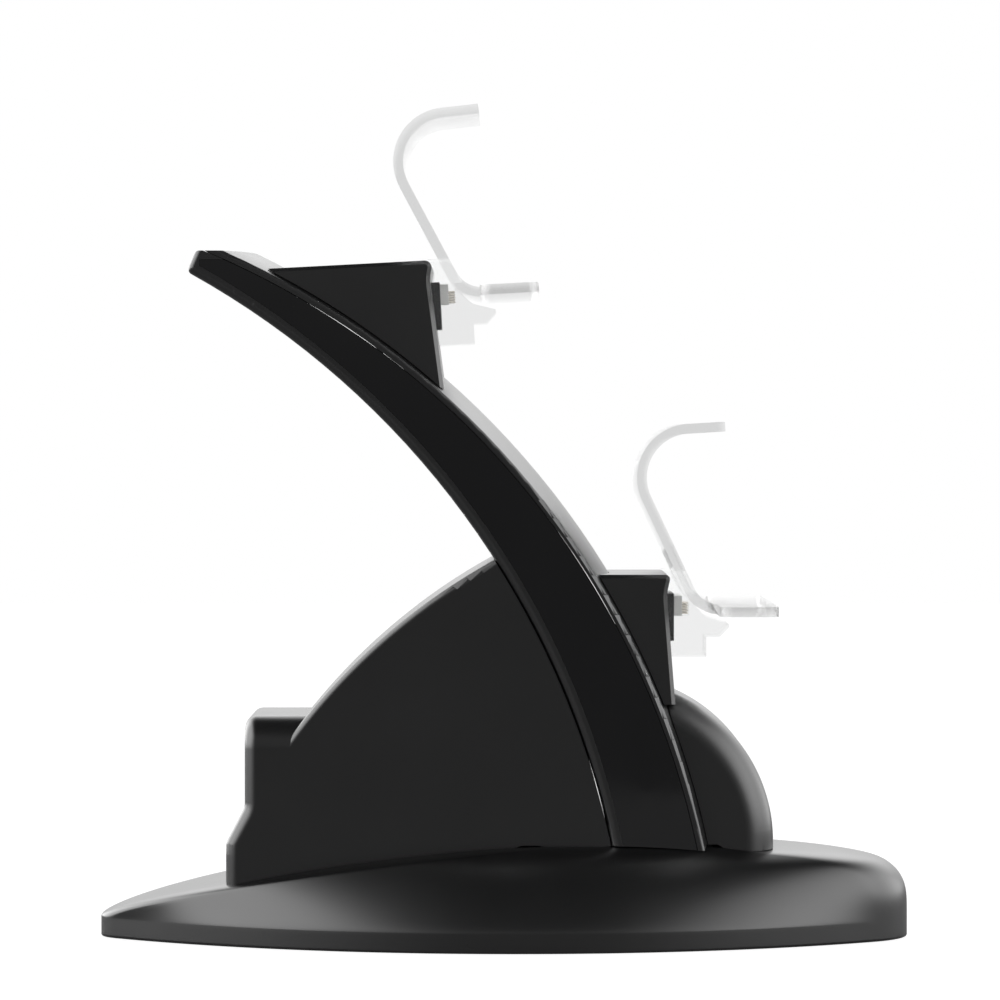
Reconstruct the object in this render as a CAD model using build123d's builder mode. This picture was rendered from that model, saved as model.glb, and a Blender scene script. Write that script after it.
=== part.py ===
from build123d import *
import os
from math import asin, cos, pi, radians, sin, sqrt, tan

# Controller charging dock: a lens-shaped base, a sail pedestal, a long curved arm and two
# clear cradles on wedge heads.
# Sizes in millimetres. +X is the front, +Z is up, Y runs across. Zero is under the base's middle.

# Base shell
BASE_LENGTH = 175.0
BASE_WIDTH = 80.0
BASE_WIDEST_X = 2.5
BASE_RIM_Z = 5.6
BASE_TOP_Z = 21.2
BASE_WALL = 2.2
# Rounds of its two ends: the front's share of the width, the rear's share of what its corner can take
FRONT_TIP_SHARE = 0.2375
REAR_CORNER_SHARE = 0.88
# Each shoulder: its reach inwards from the rim as a share of the width or length, and its curve's powers
SIDE_REACH_SHARE = 0.231
SIDE_POWERS = (1.0, 1.9)
FRONT_REACH_SHARE = 0.206
FRONT_POWERS = (3.6, 2.6)
REAR_REACH_SHARE = 0.514
REAR_POWERS = (1.7, 1.2)
SHOULDER_STEPS = (0.0, 0.2, 0.4, 0.6, 0.8, 0.93, 1.0)
CAVITY_STEPS = (0.0, 0.6, 1.0)

# Bottom plate and feet
FOOT_LIFT = 0.3
FOOT_DIAMETER = 11.0
FOOT_END_GAP = 31.5
FOOT_PITCH_Y = 26.0
PLATE_THICKNESS = 2.4
PLATE_RECESS = 0.4
PLATE_CLEARANCE = 0.25
PLATE_COUNTERBORE = 1.3

# Screws: short ones through the bottom plate, long ones up from the base into pedestal and arm
SCREW_SHANK = 2.6
SCREW_HEAD = 5.4
SCREW_HEAD_HEIGHT = 1.2
SCREW_LENGTH = 7.0
LONG_SCREW_LENGTH = 14.0
SCREW_CLEARANCE = 0.1
SCREW_BOSS = 7.0
SCREW_PAD_Z = 12.5
REAR_SCREW_GAP = 41.5
FRONT_SCREW_GAP = 29.5
PEDESTAL_SCREW_X = -17.0

# Seams between mouldings, and close fits
SEAM = 0.12
FIT = 0.1

# Arm: two arcs seen from the side, each fixed by its foot, its upper end and its radius
ARM_WIDTH = 44.0
ARM_REAR_RADIUS = 182.0
ARM_FRONT_RADIUS = 178.3
ARM_FOOT_X = 22.9
ARM_FOOT_DEPTH = 19.6
ARM_TIP_X = -67.5
ARM_TIP_Z = 143.6
ARM_TOP_X = -65.6
ARM_TOP_Z = 148.1
ARM_TOP_FLAT = 5.4
ARM_CROWN = 2.8
ARM_WALL = 2.2
ARM_REAR_ROUND = 1.8
ARM_FRONT_ROUND = 0.9
ARM_TIP_ROUND = 1.1
ARM_HOLLOW_TOP_Z = 136.0
ARM_HOLLOW_SIDE = 3.4
ARM_WEB = 2.4
ARM_WEB_TOP_Z = 32.0

# Gloss side panels let into the arm
PANEL_THICKNESS = 1.0
PANEL_SINK = 0.06
PANEL_GAP = 0.06
PANEL_FRONT_STRIP = 1.5
PANEL_REAR_STRIP = 2.4
PANEL_TOP_STRIP = 1.9
PANEL_TIP_STRIP = 2.6

# Pedestal
PEDESTAL_WIDTH = 42.0
PEDESTAL_WALL = 2.2
SAIL_RADIUS = 134.0
SAIL_START_X = -46.2
SAIL_START_Z = 43.8
SAIL_TOP_Z = 82.4
SAIL_OVERLAP = 2.0
SAIL_EDGE_ROUND = 1.4
BLOCK_REAR_X = -55.4
BLOCK_TOP_Z = 48.9
BLOCK_LENGTH = 24.0
BLOCK_FLARE = 4.0
BLOCK_FLARE_TOP_Z = 29.5
BLOCK_FLARE_FOOT_Z = 21.8
BLOCK_FLARE_ROUND = 4.0
BLOCK_CORNER = 2.5
BLOCK_EDGE_ROUND = 7.0
PEDESTAL_WEB = 2.4
PEDESTAL_WEB_TOP_Z = 30.0

# Nose cover in front of the arm's foot
NOSE_WIDTH = 36.0
NOSE_RADIUS = 34.4
NOSE_REACH = 15.3
NOSE_AXIS_Z = 21.7
NOSE_WALL = 2.0
NOSE_EDGE_ROUND = 6.5

# Heads and cradles: each cradle stands a height above the table and a reach before the arm
LOWER_CRADLE_Z = 72.0
LOWER_CRADLE_REACH = 12.5
LOWER_CRADLE_TILT = 0.0
UPPER_CRADLE_Z = 139.1
UPPER_CRADLE_REACH = 28.1
UPPER_CRADLE_TILT = 3.0
HEAD_WIDTH = 40.0
HEAD_WALL = 2.0
HEAD_TOP = 7.1
HEAD_TOP_SETBACK = 0.4
HEAD_WAIST = 3.0
HEAD_WAIST_SETBACK = 1.35
HEAD_WAIST_ROUND = 10.0
HEAD_CHIN = 20.6
HEAD_CHIN_REACH = 0.5
HEAD_CHAMFER = 0.8
HEAD_BACK = 60.0
UPPER_HEAD_ROUND = 1.5
LOWER_HEAD_ROUND = 1.0

# Clear bracket, in the cradle's own plane
BRACKET_WALL = 2.1
BRACKET_WIDTH = 42.0
STEM_LEAN = 25.2
STEM_BEND_RADIUS = 7.0
HOOK_RADIUS = 10.4
HOOK_HEIGHT = 37.3
HOOK_RISE = 3.4
HOOK_REACH = 11.0
SHELF_DROP = 0.25
SHELF_START = 5.4
SHELF_REACH = 21.7
SHELF_DEPTH = 12.4
SHELF_WIDTH = 74.0
SHELF_CORNER = 3.0
SOCKET_WIDTH = 20.0
SOCKET_BACK = 1.6
SOCKET_REACH = 7.5
SOCKET_FLOOR = 10.9
SOCKET_TOP = 2.8
LIP_REACH = 12.4
LIP_TOP = 3.8
LIP_HEEL = 10.4
LIP_FOOT = 6.6
LIP_EDGE = 0.7
GUSSET_THICKNESS = 1.8
GUSSET_TOP = 7.6
GUSSET_REACH = 1.4

# Connector in each cradle
FLANGE_WIDTH = 14.0
FLANGE_BACK = 2.4
FLANGE_THICKNESS = 3.0
FLANGE_FLOOR = 7.5
FLANGE_HEIGHT = 10.2
CONTACT_BLOCK_WIDTH = 11.0
CONTACT_BLOCK_DEPTH = 1.8
CONTACT_BLOCK_FLOOR = 2.1
CONTACT_BLOCK_HEIGHT = 4.3
CONTACT_COUNT = 5
CONTACT_PITCH = 0.55
CONTACT_THICKNESS = 0.3
CONTACT_LENGTH = 1.4
CONTACT_WIDTH = 8.0

# Charge board, power inlet and flat leads inside
BOARD_LENGTH = 30.0
BOARD_WIDTH = 35.0
BOARD_THICKNESS = 1.6
BOARD_Z = 33.6
BOARD_LEDGE = 3.0
BOARD_LEDGE_HEIGHT = 2.0
INLET_WIDTH = 9.0
INLET_HEIGHT = 4.6
INLET_DEPTH = 8.0
INLET_WALL = 0.7
TONGUE_WIDTH = 5.2
TONGUE_HEIGHT = 1.2
TONGUE_LENGTH = 5.5
LEAD_WIDTH = 3.4
LEAD_THICKNESS = 1.4
LEAD_TUNNEL_GAP = 1.0
LEAD_SPACING = 10.0
LEAD_ON_BOARD = 4.0
LEAD_DROP = 4.0
LEAD_TURN_REACH = 13.5
LEAD_WINDOW_Z = 44.0
LOWER_LEAD_HEIGHTS = (58.0,)
UPPER_LEAD_HEIGHTS = (84.0, 122.0)
RUN_SHARE = 0.42

# Longer than the whole dock, for cutting, and the turn that takes in the whole arm
CUT_REACH = 300.0
QUARTER_TURN = 90.0


def arc_centre(first, last, radius, side):
    """Centre of an arc of the given radius through two points, on one side of their chord."""
    chord_x = last[0] - first[0]
    chord_z = last[1] - first[1]
    chord = sqrt(chord_x**2 + chord_z**2)
    height = side * sqrt(radius**2 - (chord / 2) ** 2)
    middle_x = (first[0] + last[0]) / 2
    middle_z = (first[1] + last[1]) / 2
    return middle_x - height * chord_z / chord, middle_z + height * chord_x / chord


def arc_x(centre, radius, z):
    """X of the front side of a circle at one height."""
    return centre[0] + sqrt(radius**2 - (z - centre[1]) ** 2)


# Places that follow from the sizes
PLATE_LOW_Z = FOOT_LIFT + PLATE_RECESS
PLATE_HIGH_Z = PLATE_LOW_Z + PLATE_THICKNESS
FOOT_X = BASE_LENGTH / 2 - FOOT_END_GAP
BASE_SCREW_XS = (REAR_SCREW_GAP - BASE_LENGTH / 2, BASE_LENGTH / 2 - FRONT_SCREW_GAP)
BASE_SCREW_Z = PLATE_LOW_Z + PLATE_COUNTERBORE - SCREW_HEAD_HEIGHT
ARM_FOOT_FRONT_X = ARM_FOOT_X + ARM_FOOT_DEPTH
ARM_SCREW_X = ARM_FOOT_X + ARM_FOOT_DEPTH / 2
REAR_CENTRE = arc_centre((ARM_FOOT_X, BASE_TOP_Z), (ARM_TIP_X, ARM_TIP_Z), ARM_REAR_RADIUS, 1)
FRONT_CENTRE = arc_centre(
    (ARM_FOOT_FRONT_X, BASE_TOP_Z), (ARM_TOP_X + ARM_TOP_FLAT, ARM_TOP_Z), ARM_FRONT_RADIUS, 1
)
COVER_RADIUS = ARM_FRONT_RADIUS - PANEL_FRONT_STRIP
SAIL_TOP_X = arc_x(REAR_CENTRE, ARM_REAR_RADIUS, SAIL_TOP_Z)
SAIL_CENTRE = arc_centre((SAIL_START_X, SAIL_START_Z), (SAIL_TOP_X, SAIL_TOP_Z), SAIL_RADIUS, -1)
NOSE_AXIS_X = ARM_FOOT_FRONT_X + NOSE_REACH - NOSE_RADIUS
BOARD_REAR_X = BLOCK_REAR_X + PEDESTAL_WALL + FIT
BOARD_FRONT_X = BOARD_REAR_X + BOARD_LENGTH
BOARD_TOP_Z = BOARD_Z + BOARD_THICKNESS
PEDESTAL_HOLLOW_WIDTH = PEDESTAL_WIDTH - 2 * PEDESTAL_WALL
FLANGE_FRONT = FLANGE_THICKNESS - FLANGE_BACK


def shoulder(share, reach, powers):
    """How far a shoulder has come inwards at a share of its height."""
    return reach * (1 - (1 - share ** powers[0]) ** (1 / powers[1]))


def side_arc_radius(half_width, front_x, tip_radius):
    """Radius of the base's side arcs, which touch the widest place and the round of the front."""
    tip_x = front_x - tip_radius - BASE_WIDEST_X
    return (half_width**2 + tip_x**2 - tip_radius**2) / (2 * (half_width - tip_radius))


def rear_corner_radius():
    """Radius that rounds the two corners of the base's rear end along its rim."""
    radius = side_arc_radius(BASE_WIDTH / 2, BASE_LENGTH / 2, FRONT_TIP_SHARE * BASE_WIDTH)
    run = BASE_LENGTH / 2 + BASE_WIDEST_X
    end_half_width = sqrt(radius**2 - run**2) - radius + BASE_WIDTH / 2
    corner_angle = pi / 2 + asin(run / radius)
    return REAR_CORNER_SHARE * end_half_width * tan(corner_angle / 2)


def base_contour(share, inset, lift):
    """Level outline of the base at a share of the height between its rim and its top."""
    half_width = BASE_WIDTH / 2 - inset - shoulder(share, SIDE_REACH_SHARE * BASE_WIDTH, SIDE_POWERS)
    rear_x = inset - BASE_LENGTH / 2 + shoulder(share, REAR_REACH_SHARE * BASE_LENGTH, REAR_POWERS)
    front_x = BASE_LENGTH / 2 - inset - shoulder(share, FRONT_REACH_SHARE * BASE_LENGTH, FRONT_POWERS)
    tip_radius = FRONT_TIP_SHARE * BASE_WIDTH - inset
    radius = side_arc_radius(half_width, front_x, tip_radius)
    offset_y = radius - half_width
    height = BASE_RIM_Z + share * (BASE_TOP_Z - BASE_RIM_Z) + lift
    with BuildSketch(Plane.XY.offset(height)) as contour:
        with Locations((BASE_WIDEST_X, offset_y)):
            Circle(radius)
        with Locations((BASE_WIDEST_X, -offset_y)):
            Circle(radius, mode=Mode.INTERSECT)
        with Locations((rear_x, 0)):
            Rectangle(CUT_REACH, CUT_REACH, align=(Align.MIN, Align.CENTER), mode=Mode.INTERSECT)
        fillet(contour.vertices().sort_by(Axis.X)[-1], tip_radius)
        fillet(contour.vertices().group_by(Axis.X)[0], rear_corner_radius() - inset)
    return contour.sketch


def base_form(inset, lift, floor_z, steps, ruled):
    """Solid form of the base, grown inwards by an inset and raised by a lift."""
    rim = base_contour(0, inset, lift)
    with BuildPart() as form:
        extrude(rim, amount=floor_z - BASE_RIM_Z - lift)
        loft([base_contour(share, inset, lift) for share in steps], ruled=ruled)
    return form.part


def cylinder_form(centre, radius):
    """Long cylinder across the dock, for parting the arm along one of its arcs."""
    with BuildPart() as form:
        with BuildSketch(Plane.XZ):
            with Locations(centre):
                Circle(radius)
        extrude(amount=ARM_WIDTH, both=True)
    return form.part


def arm_limits(grow):
    """Side outline that ends the arm at its foot, its top and its slanted tip."""
    tip = Vector(ARM_TIP_X - grow, ARM_TIP_Z)
    top = Vector(ARM_TOP_X - grow, ARM_TOP_Z + grow)
    past_tip = tip + (tip - top)
    with BuildSketch(Plane.XZ) as outline:
        with BuildLine():
            Polyline(
                (past_tip.X, BASE_RIM_Z),
                (past_tip.X, past_tip.Y),
                (top.X, top.Y),
                (CUT_REACH, top.Y),
                (CUT_REACH, BASE_RIM_Z),
                close=True,
            )
        make_face()
    return outline.sketch


def arm_form(grow):
    """Solid form of the arm, its crowned front turned about the front arc's centre, grown outwards."""
    half = ARM_WIDTH / 2 + grow
    middle_x, middle_z = FRONT_CENTRE
    edge_x = middle_x + ARM_FRONT_RADIUS + grow
    with BuildPart() as form:
        with BuildSketch(Plane.XY.offset(middle_z)) as profile:
            with BuildLine():
                ThreePointArc((edge_x, -half), (edge_x + ARM_CROWN, 0), (edge_x, half))
                Polyline((edge_x, half), (middle_x, half), (middle_x, -half), (edge_x, -half))
            make_face()
            fillet(profile.vertices().group_by(Axis.X)[-1], ARM_FRONT_ROUND)
        revolve(axis=Axis((middle_x, 0, middle_z), (0, -1, 0)), revolution_arc=QUARTER_TURN)
        extrude(arm_limits(grow), amount=ARM_WIDTH, both=True, mode=Mode.INTERSECT)
        add(cylinder_form(REAR_CENTRE, ARM_REAR_RADIUS - grow), mode=Mode.SUBTRACT)
    return form.part


def crescent(plane, front_radius, rear_radius, low, high_z):
    """Side outline between a front arc and a rear arc of the arm, above and before a low corner."""
    with BuildSketch(plane) as outline:
        with Locations(FRONT_CENTRE):
            Circle(front_radius)
        with Locations(REAR_CENTRE):
            Circle(rear_radius, mode=Mode.SUBTRACT)
        with Locations(low):
            Rectangle(CUT_REACH, high_z - low[1], align=(Align.MIN, Align.MIN), mode=Mode.INTERSECT)
    return outline.sketch


def screw_form(places, length):
    """Group of screws, each with its head downwards at one place."""
    low = (Align.CENTER, Align.CENTER, Align.MIN)
    with BuildPart() as form:
        with Locations(*places):
            Cylinder(SCREW_HEAD / 2, SCREW_HEAD_HEIGHT, align=low)
            Cylinder(SCREW_SHANK / 2, SCREW_HEAD_HEIGHT + length, align=low)
    return form.part


def posts(places, diameter, height):
    """Upright cylinders from each place, for feet and holes."""
    with BuildPart() as form:
        with Locations(*places):
            Cylinder(diameter / 2, height, align=(Align.CENTER, Align.CENTER, Align.MIN))
    return form.part


def bar(plane, low, high, width):
    """Rectangular bar between two corners of a plane, spread evenly to both sides of it."""
    with BuildPart() as form:
        with BuildSketch(plane):
            with Locations(((low[0] + high[0]) / 2, (low[1] + high[1]) / 2)):
                Rectangle(high[0] - low[0], high[1] - low[1])
        extrude(amount=width / 2, both=True)
    return form.part


def boss(x, low_z, high_z):
    """Square screw boss on the dock's middle line."""
    return bar(Plane.XZ, (x - SCREW_BOSS / 2, low_z), (x + SCREW_BOSS / 2, high_z), SCREW_BOSS)


def panel_form(side, gap, thickness):
    """Side panel of the arm, or its recess where the gap is nothing."""
    inner_y = side * (ARM_WIDTH / 2 - PANEL_THICKNESS)
    outline = crescent(
        Plane.XZ.offset(-inner_y),
        COVER_RADIUS - gap,
        ARM_REAR_RADIUS + PANEL_REAR_STRIP + gap,
        (ARM_TIP_X + PANEL_TIP_STRIP + gap, BASE_RIM_Z),
        ARM_TOP_Z - PANEL_TOP_STRIP - gap,
    )
    with BuildPart() as form:
        extrude(outline, amount=-side * thickness)
    return form.part


def block_outline(inset):
    """Side outline of the pedestal's rear block with its flared foot."""
    rear_x = BLOCK_REAR_X + inset
    foot_x = rear_x - BLOCK_FLARE
    front_x = BLOCK_REAR_X + BLOCK_LENGTH
    with BuildSketch(Plane.XZ) as outline:
        with BuildLine():
            Polyline(
                (foot_x, BASE_RIM_Z),
                (foot_x, BLOCK_FLARE_FOOT_Z),
                (rear_x, BLOCK_FLARE_TOP_Z),
                (rear_x, BLOCK_TOP_Z - inset),
                (front_x, BLOCK_TOP_Z - inset),
                (front_x, BASE_RIM_Z),
                close=True,
            )
        make_face()
        flare_ends = outline.vertices().filter_by_position(
            Axis.Y, BLOCK_FLARE_FOOT_Z, BLOCK_FLARE_TOP_Z
        )
        fillet(flare_ends, BLOCK_FLARE_ROUND)
    return outline.sketch


def sail_outline(inset):
    """Side outline of the pedestal's sail, running into the arm."""
    with BuildSketch(Plane.XZ) as outline:
        with Locations(SAIL_CENTRE):
            Circle(SAIL_RADIUS - inset)
        with Locations((SAIL_START_X - SAIL_OVERLAP, BASE_RIM_Z)):
            Rectangle(CUT_REACH, CUT_REACH, align=(Align.MIN, Align.MIN), mode=Mode.INTERSECT)
        with Locations(REAR_CENTRE):
            Circle(ARM_REAR_RADIUS + ARM_WALL, mode=Mode.INTERSECT)
    return outline.sketch


def nose_form(inset):
    """Rounded nose, grown inwards by an inset."""
    with BuildPart() as form:
        with BuildSketch(Plane.XZ):
            with Locations((NOSE_AXIS_X, NOSE_AXIS_Z)):
                Circle(NOSE_RADIUS - inset)
                Rectangle(NOSE_RADIUS - inset, NOSE_AXIS_Z, align=(Align.MIN, Align.MAX))
            with Locations((NOSE_AXIS_X, BASE_RIM_Z)):
                Rectangle(CUT_REACH, CUT_REACH, align=(Align.MIN, Align.MIN), mode=Mode.INTERSECT)
        extrude(amount=NOSE_WIDTH / 2 - inset, both=True)
    return form.part


def cradle_plane(height, reach, tilt):
    """Plane of a cradle, seen from the side, standing before the arm's front edge."""
    origin_x = arc_x(FRONT_CENTRE, ARM_FRONT_RADIUS, height) + reach
    turn = radians(tilt)
    return Plane(origin=(origin_x, 0, height), x_dir=(cos(turn), 0, sin(turn)), z_dir=(0, -1, 0))


def head_outline(plane, corner, inset):
    """Side outline of a head with its waisted front, running back into the arm."""
    top_v = HEAD_TOP - inset
    top_u = -HEAD_TOP_SETBACK - inset
    waist = (-HEAD_WAIST_SETBACK - inset, HEAD_WAIST - inset)
    chin_v = -HEAD_CHIN + min(inset, 0)
    with BuildSketch(plane) as outline:
        with BuildLine():
            Polyline(
                (top_u, top_v),
                waist,
                (HEAD_CHIN_REACH - inset, chin_v),
                (-HEAD_BACK, chin_v),
                (-HEAD_BACK, top_v),
                close=True,
            )
        make_face()
        fillet(outline.vertices().sort_by_distance(waist)[0], HEAD_WAIST_ROUND)
        fillet(outline.vertices().sort_by_distance((top_u, top_v))[0], corner)
    return outline.sketch


def arm_middle(z):
    """Point in the middle of the arm's hollow at one height."""
    front_x = arc_x(FRONT_CENTRE, COVER_RADIUS, z)
    rear_x = arc_x(REAR_CENTRE, ARM_REAR_RADIUS + ARM_WALL, z)
    return (front_x + rear_x) / 2, z


def lead_route(plane, heights):
    """Route of a lead from the board, up the arm's hollow at some heights, to a connector."""
    turn_in = plane.from_local_coords(Vector(-LEAD_TURN_REACH, -LEAD_DROP, 0))
    end = plane.from_local_coords(Vector(-FLANGE_BACK, -LEAD_DROP, 0))
    board_lead_z = BOARD_TOP_Z + LEAD_THICKNESS / 2
    return [
        (BOARD_FRONT_X - LEAD_ON_BOARD, board_lead_z),
        (BOARD_FRONT_X + LEAD_ON_BOARD, board_lead_z),
        *[arm_middle(z) for z in (LEAD_WINDOW_Z, *heights)],
        (turn_in.X, turn_in.Z),
        (end.X, end.Z),
    ]


def corner_radii(points):
    """Radius of each corner of a route, as large as its two runs allow."""
    radii = []
    for before, corner, after in zip(points, points[1:], points[2:]):
        run_in = Vector(*corner) - Vector(*before)
        run_out = Vector(*after) - Vector(*corner)
        turn = radians(run_in.get_angle(run_out))
        radii.append(RUN_SHARE * min(run_in.length, run_out.length) / tan(turn / 2))
    return radii


def ribbon(points, y, grow):
    """Flat lead along a route in an upright plane, grown to all sides for cutting its tunnel."""
    with BuildPart() as form:
        with BuildSketch(Plane.XZ.offset(-y)):
            with BuildLine():
                FilletPolyline(*points, radius=corner_radii(points))
            trace(line_width=LEAD_THICKNESS + 2 * grow)
        extrude(amount=LEAD_WIDTH / 2 + grow, both=True)
    return form.part


def lead_opening(plane, y, height):
    """Straight openings around a lead's climb from one height and its last run, in cover and head."""
    room = LEAD_THICKNESS / 2 + LEAD_TUNNEL_GAP
    width = LEAD_WIDTH + 2 * LEAD_TUNNEL_GAP
    climb = arm_middle(height)
    turn_in = plane.from_local_coords(Vector(-LEAD_TURN_REACH, -LEAD_DROP, 0))
    climb_low = (min(climb[0], turn_in.X) - room, height)
    climb_high = (max(climb[0], turn_in.X) + room, turn_in.Z + room)
    run_low = (-LEAD_TURN_REACH - room, -LEAD_DROP - room)
    run_high = (-FLANGE_BACK, -LEAD_DROP + room)
    with BuildPart() as form:
        add(bar(Plane.XZ.offset(-y), climb_low, climb_high, width))
        add(bar(plane.offset(-y), run_low, run_high, width))
    return form.part


def finish(builder, name):
    """Label a finished piece and write it."""
    builder.part.label = name
    export_step(builder.part, f"parts/{name}.step")


os.makedirs("parts", exist_ok=True)

# Forms that several pieces share
base_outer = base_form(0, 0, FOOT_LIFT, SHOULDER_STEPS, False)
base_seat = base_form(0, SEAM, FOOT_LIFT, SHOULDER_STEPS, False)
base_cavity = base_form(BASE_WALL, -BASE_WALL, 0, CAVITY_STEPS, True)
arm_outer = arm_form(0)
arm_seat = arm_form(SEAM)
arm_core = arm_form(-ARM_WALL)
cover_cylinder = cylinder_form(FRONT_CENTRE, COVER_RADIUS)
cover_seam_cylinder = cylinder_form(FRONT_CENTRE, COVER_RADIUS + SEAM)
arm_front_cylinder = cylinder_form(FRONT_CENTRE, ARM_FRONT_RADIUS)
arm_rear_cylinder = cylinder_form(REAR_CENTRE, ARM_REAR_RADIUS - SEAM)
cradles = {
    "upper": cradle_plane(UPPER_CRADLE_Z, UPPER_CRADLE_REACH, UPPER_CRADLE_TILT),
    "lower": cradle_plane(LOWER_CRADLE_Z, LOWER_CRADLE_REACH, LOWER_CRADLE_TILT),
}
head_rounds = {"upper": UPPER_HEAD_ROUND, "lower": LOWER_HEAD_ROUND}
lead_heights = {"upper": UPPER_LEAD_HEIGHTS, "lower": LOWER_LEAD_HEIGHTS}
lead_ys = {"upper": LEAD_SPACING / 2, "lower": -LEAD_SPACING / 2}
lead_routes = {name: lead_route(plane, lead_heights[name]) for name, plane in cradles.items()}
lead_tunnels = [ribbon(lead_routes[name], lead_ys[name], LEAD_TUNNEL_GAP) for name in cradles]
lead_openings = {
    name: lead_opening(plane, lead_ys[name], lead_heights[name][-1]) for name, plane in cradles.items()
}

# Places of the screws
long_screw_xs = {"pedestal": PEDESTAL_SCREW_X, "arm": ARM_SCREW_X}
base_screw_places = [(x, 0, BASE_SCREW_Z) for x in BASE_SCREW_XS]
counterbore_places = [(x, 0, PLATE_LOW_Z) for x in BASE_SCREW_XS]
pad_places = [(x, 0, SCREW_PAD_Z) for x in long_screw_xs.values()]
hole_diameter = SCREW_SHANK + 2 * SCREW_CLEARANCE
base_screw_holes = posts(base_screw_places, hole_diameter, SCREW_HEAD_HEIGHT + SCREW_LENGTH + FIT)
long_screw_holes = posts(pad_places, hole_diameter, LONG_SCREW_LENGTH + FIT)

# Base shell, with screw bosses under its top
with BuildPart() as base_hollow:
    add(base_cavity)
    for x in BASE_SCREW_XS:
        add(boss(x, PLATE_HIGH_Z, BASE_TOP_Z), mode=Mode.SUBTRACT)
    for x in long_screw_xs.values():
        add(boss(x, SCREW_PAD_Z, BASE_TOP_Z), mode=Mode.SUBTRACT)

with BuildPart() as base_shell:
    add(base_outer)
    add(base_hollow.part, mode=Mode.SUBTRACT)
    add(base_screw_holes, mode=Mode.SUBTRACT)
    add(long_screw_holes, mode=Mode.SUBTRACT)
finish(base_shell, "base_shell")

# Bottom plate, with sunk screw heads
plate_outline = base_contour(0, BASE_WALL + PLATE_CLEARANCE, PLATE_LOW_Z - BASE_RIM_Z)
with BuildPart() as bottom_plate:
    extrude(plate_outline, amount=PLATE_THICKNESS)
    add(posts(counterbore_places, SCREW_HEAD + 2 * FIT, PLATE_COUNTERBORE), mode=Mode.SUBTRACT)
    add(base_screw_holes, mode=Mode.SUBTRACT)
finish(bottom_plate, "bottom_plate")

# Rubber feet, stuck on under the plate
foot_places = {
    "rear_right": (-FOOT_X, -FOOT_PITCH_Y / 2, 0),
    "rear_left": (-FOOT_X, FOOT_PITCH_Y / 2, 0),
    "front_right": (FOOT_X, -FOOT_PITCH_Y / 2, 0),
    "front_left": (FOOT_X, FOOT_PITCH_Y / 2, 0),
}
for place_name, place in foot_places.items():
    with BuildPart() as foot:
        add(posts([place], FOOT_DIAMETER, PLATE_LOW_Z))
    finish(foot, f"foot_{place_name}")

# Screws
with BuildPart() as base_screws:
    add(screw_form(base_screw_places, SCREW_LENGTH))
finish(base_screws, "base_screws")

for screw_name, x in long_screw_xs.items():
    with BuildPart() as long_screw:
        add(screw_form([(x, 0, SCREW_PAD_Z - SCREW_HEAD_HEIGHT)], LONG_SCREW_LENGTH))
    finish(long_screw, f"{screw_name}_screw")

# Pedestal shell: rear block and sail in one moulding, open towards the arm and the base
with BuildPart() as block:
    extrude(block_outline(0), amount=PEDESTAL_WIDTH / 2, both=True)
    fillet(block.edges().filter_by(Axis.X).group_by(Axis.Z)[-1], BLOCK_EDGE_ROUND)
    fillet(block.edges().filter_by(Axis.Y).group_by(Axis.Z)[-1].sort_by(Axis.X)[0], BLOCK_CORNER)

with BuildPart() as sail:
    extrude(sail_outline(0), amount=PEDESTAL_WIDTH / 2, both=True)
    sail_arcs = sail.edges().filter_by(GeomType.CIRCLE).filter_by(lambda edge: edge.radius == SAIL_RADIUS)
    fillet(sail_arcs, SAIL_EDGE_ROUND)

with BuildPart() as ledges:
    ledge_low = (BOARD_REAR_X, BOARD_Z - BOARD_LEDGE_HEIGHT)
    ledge_high = (BOARD_FRONT_X, BOARD_Z)
    add(bar(Plane.XZ, ledge_low, ledge_high, PEDESTAL_WIDTH - PEDESTAL_WALL))
    add(bar(Plane.XZ, ledge_low, ledge_high, BOARD_WIDTH - 2 * BOARD_LEDGE), mode=Mode.SUBTRACT)

with BuildPart() as pedestal_shell:
    add(block.part)
    add(sail.part)
    add(arm_rear_cylinder, mode=Mode.INTERSECT)
    for hollow in (block_outline(PEDESTAL_WALL), sail_outline(PEDESTAL_WALL)):
        extrude(hollow, amount=PEDESTAL_HOLLOW_WIDTH / 2, both=True, mode=Mode.SUBTRACT)
    web_low = (PEDESTAL_SCREW_X - PEDESTAL_WEB / 2, BASE_RIM_Z)
    web_high = (PEDESTAL_SCREW_X + PEDESTAL_WEB / 2, PEDESTAL_WEB_TOP_Z)
    add(bar(Plane.XZ, web_low, web_high, PEDESTAL_WIDTH - PEDESTAL_WALL))
    add(boss(PEDESTAL_SCREW_X, BASE_RIM_Z, PEDESTAL_WEB_TOP_Z))
    add(ledges.part)
    inlet_low = (BLOCK_REAR_X - BLOCK_FLARE, BOARD_TOP_Z - FIT)
    inlet_high = (BOARD_REAR_X + FIT, BOARD_TOP_Z + INLET_HEIGHT + FIT)
    add(bar(Plane.XZ, inlet_low, inlet_high, INLET_WIDTH + 2 * FIT), mode=Mode.SUBTRACT)
    add(base_seat, mode=Mode.SUBTRACT)
    add(long_screw_holes, mode=Mode.SUBTRACT)
finish(pedestal_shell, "pedestal_shell")

# Arm: rounded along its edges, then parted into a rear shell and a crowned front cover
with BuildPart() as arm_body:
    add(arm_outer)
    arm_arcs = arm_body.edges().filter_by(GeomType.CIRCLE)
    fillet(arm_arcs.filter_by(lambda edge: abs(edge.radius - ARM_REAR_RADIUS) < FIT), ARM_REAR_ROUND)
    fillet(arm_body.edges().filter_by(Axis.Y).sort_by(Axis.X)[:2], ARM_TIP_ROUND)

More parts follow.
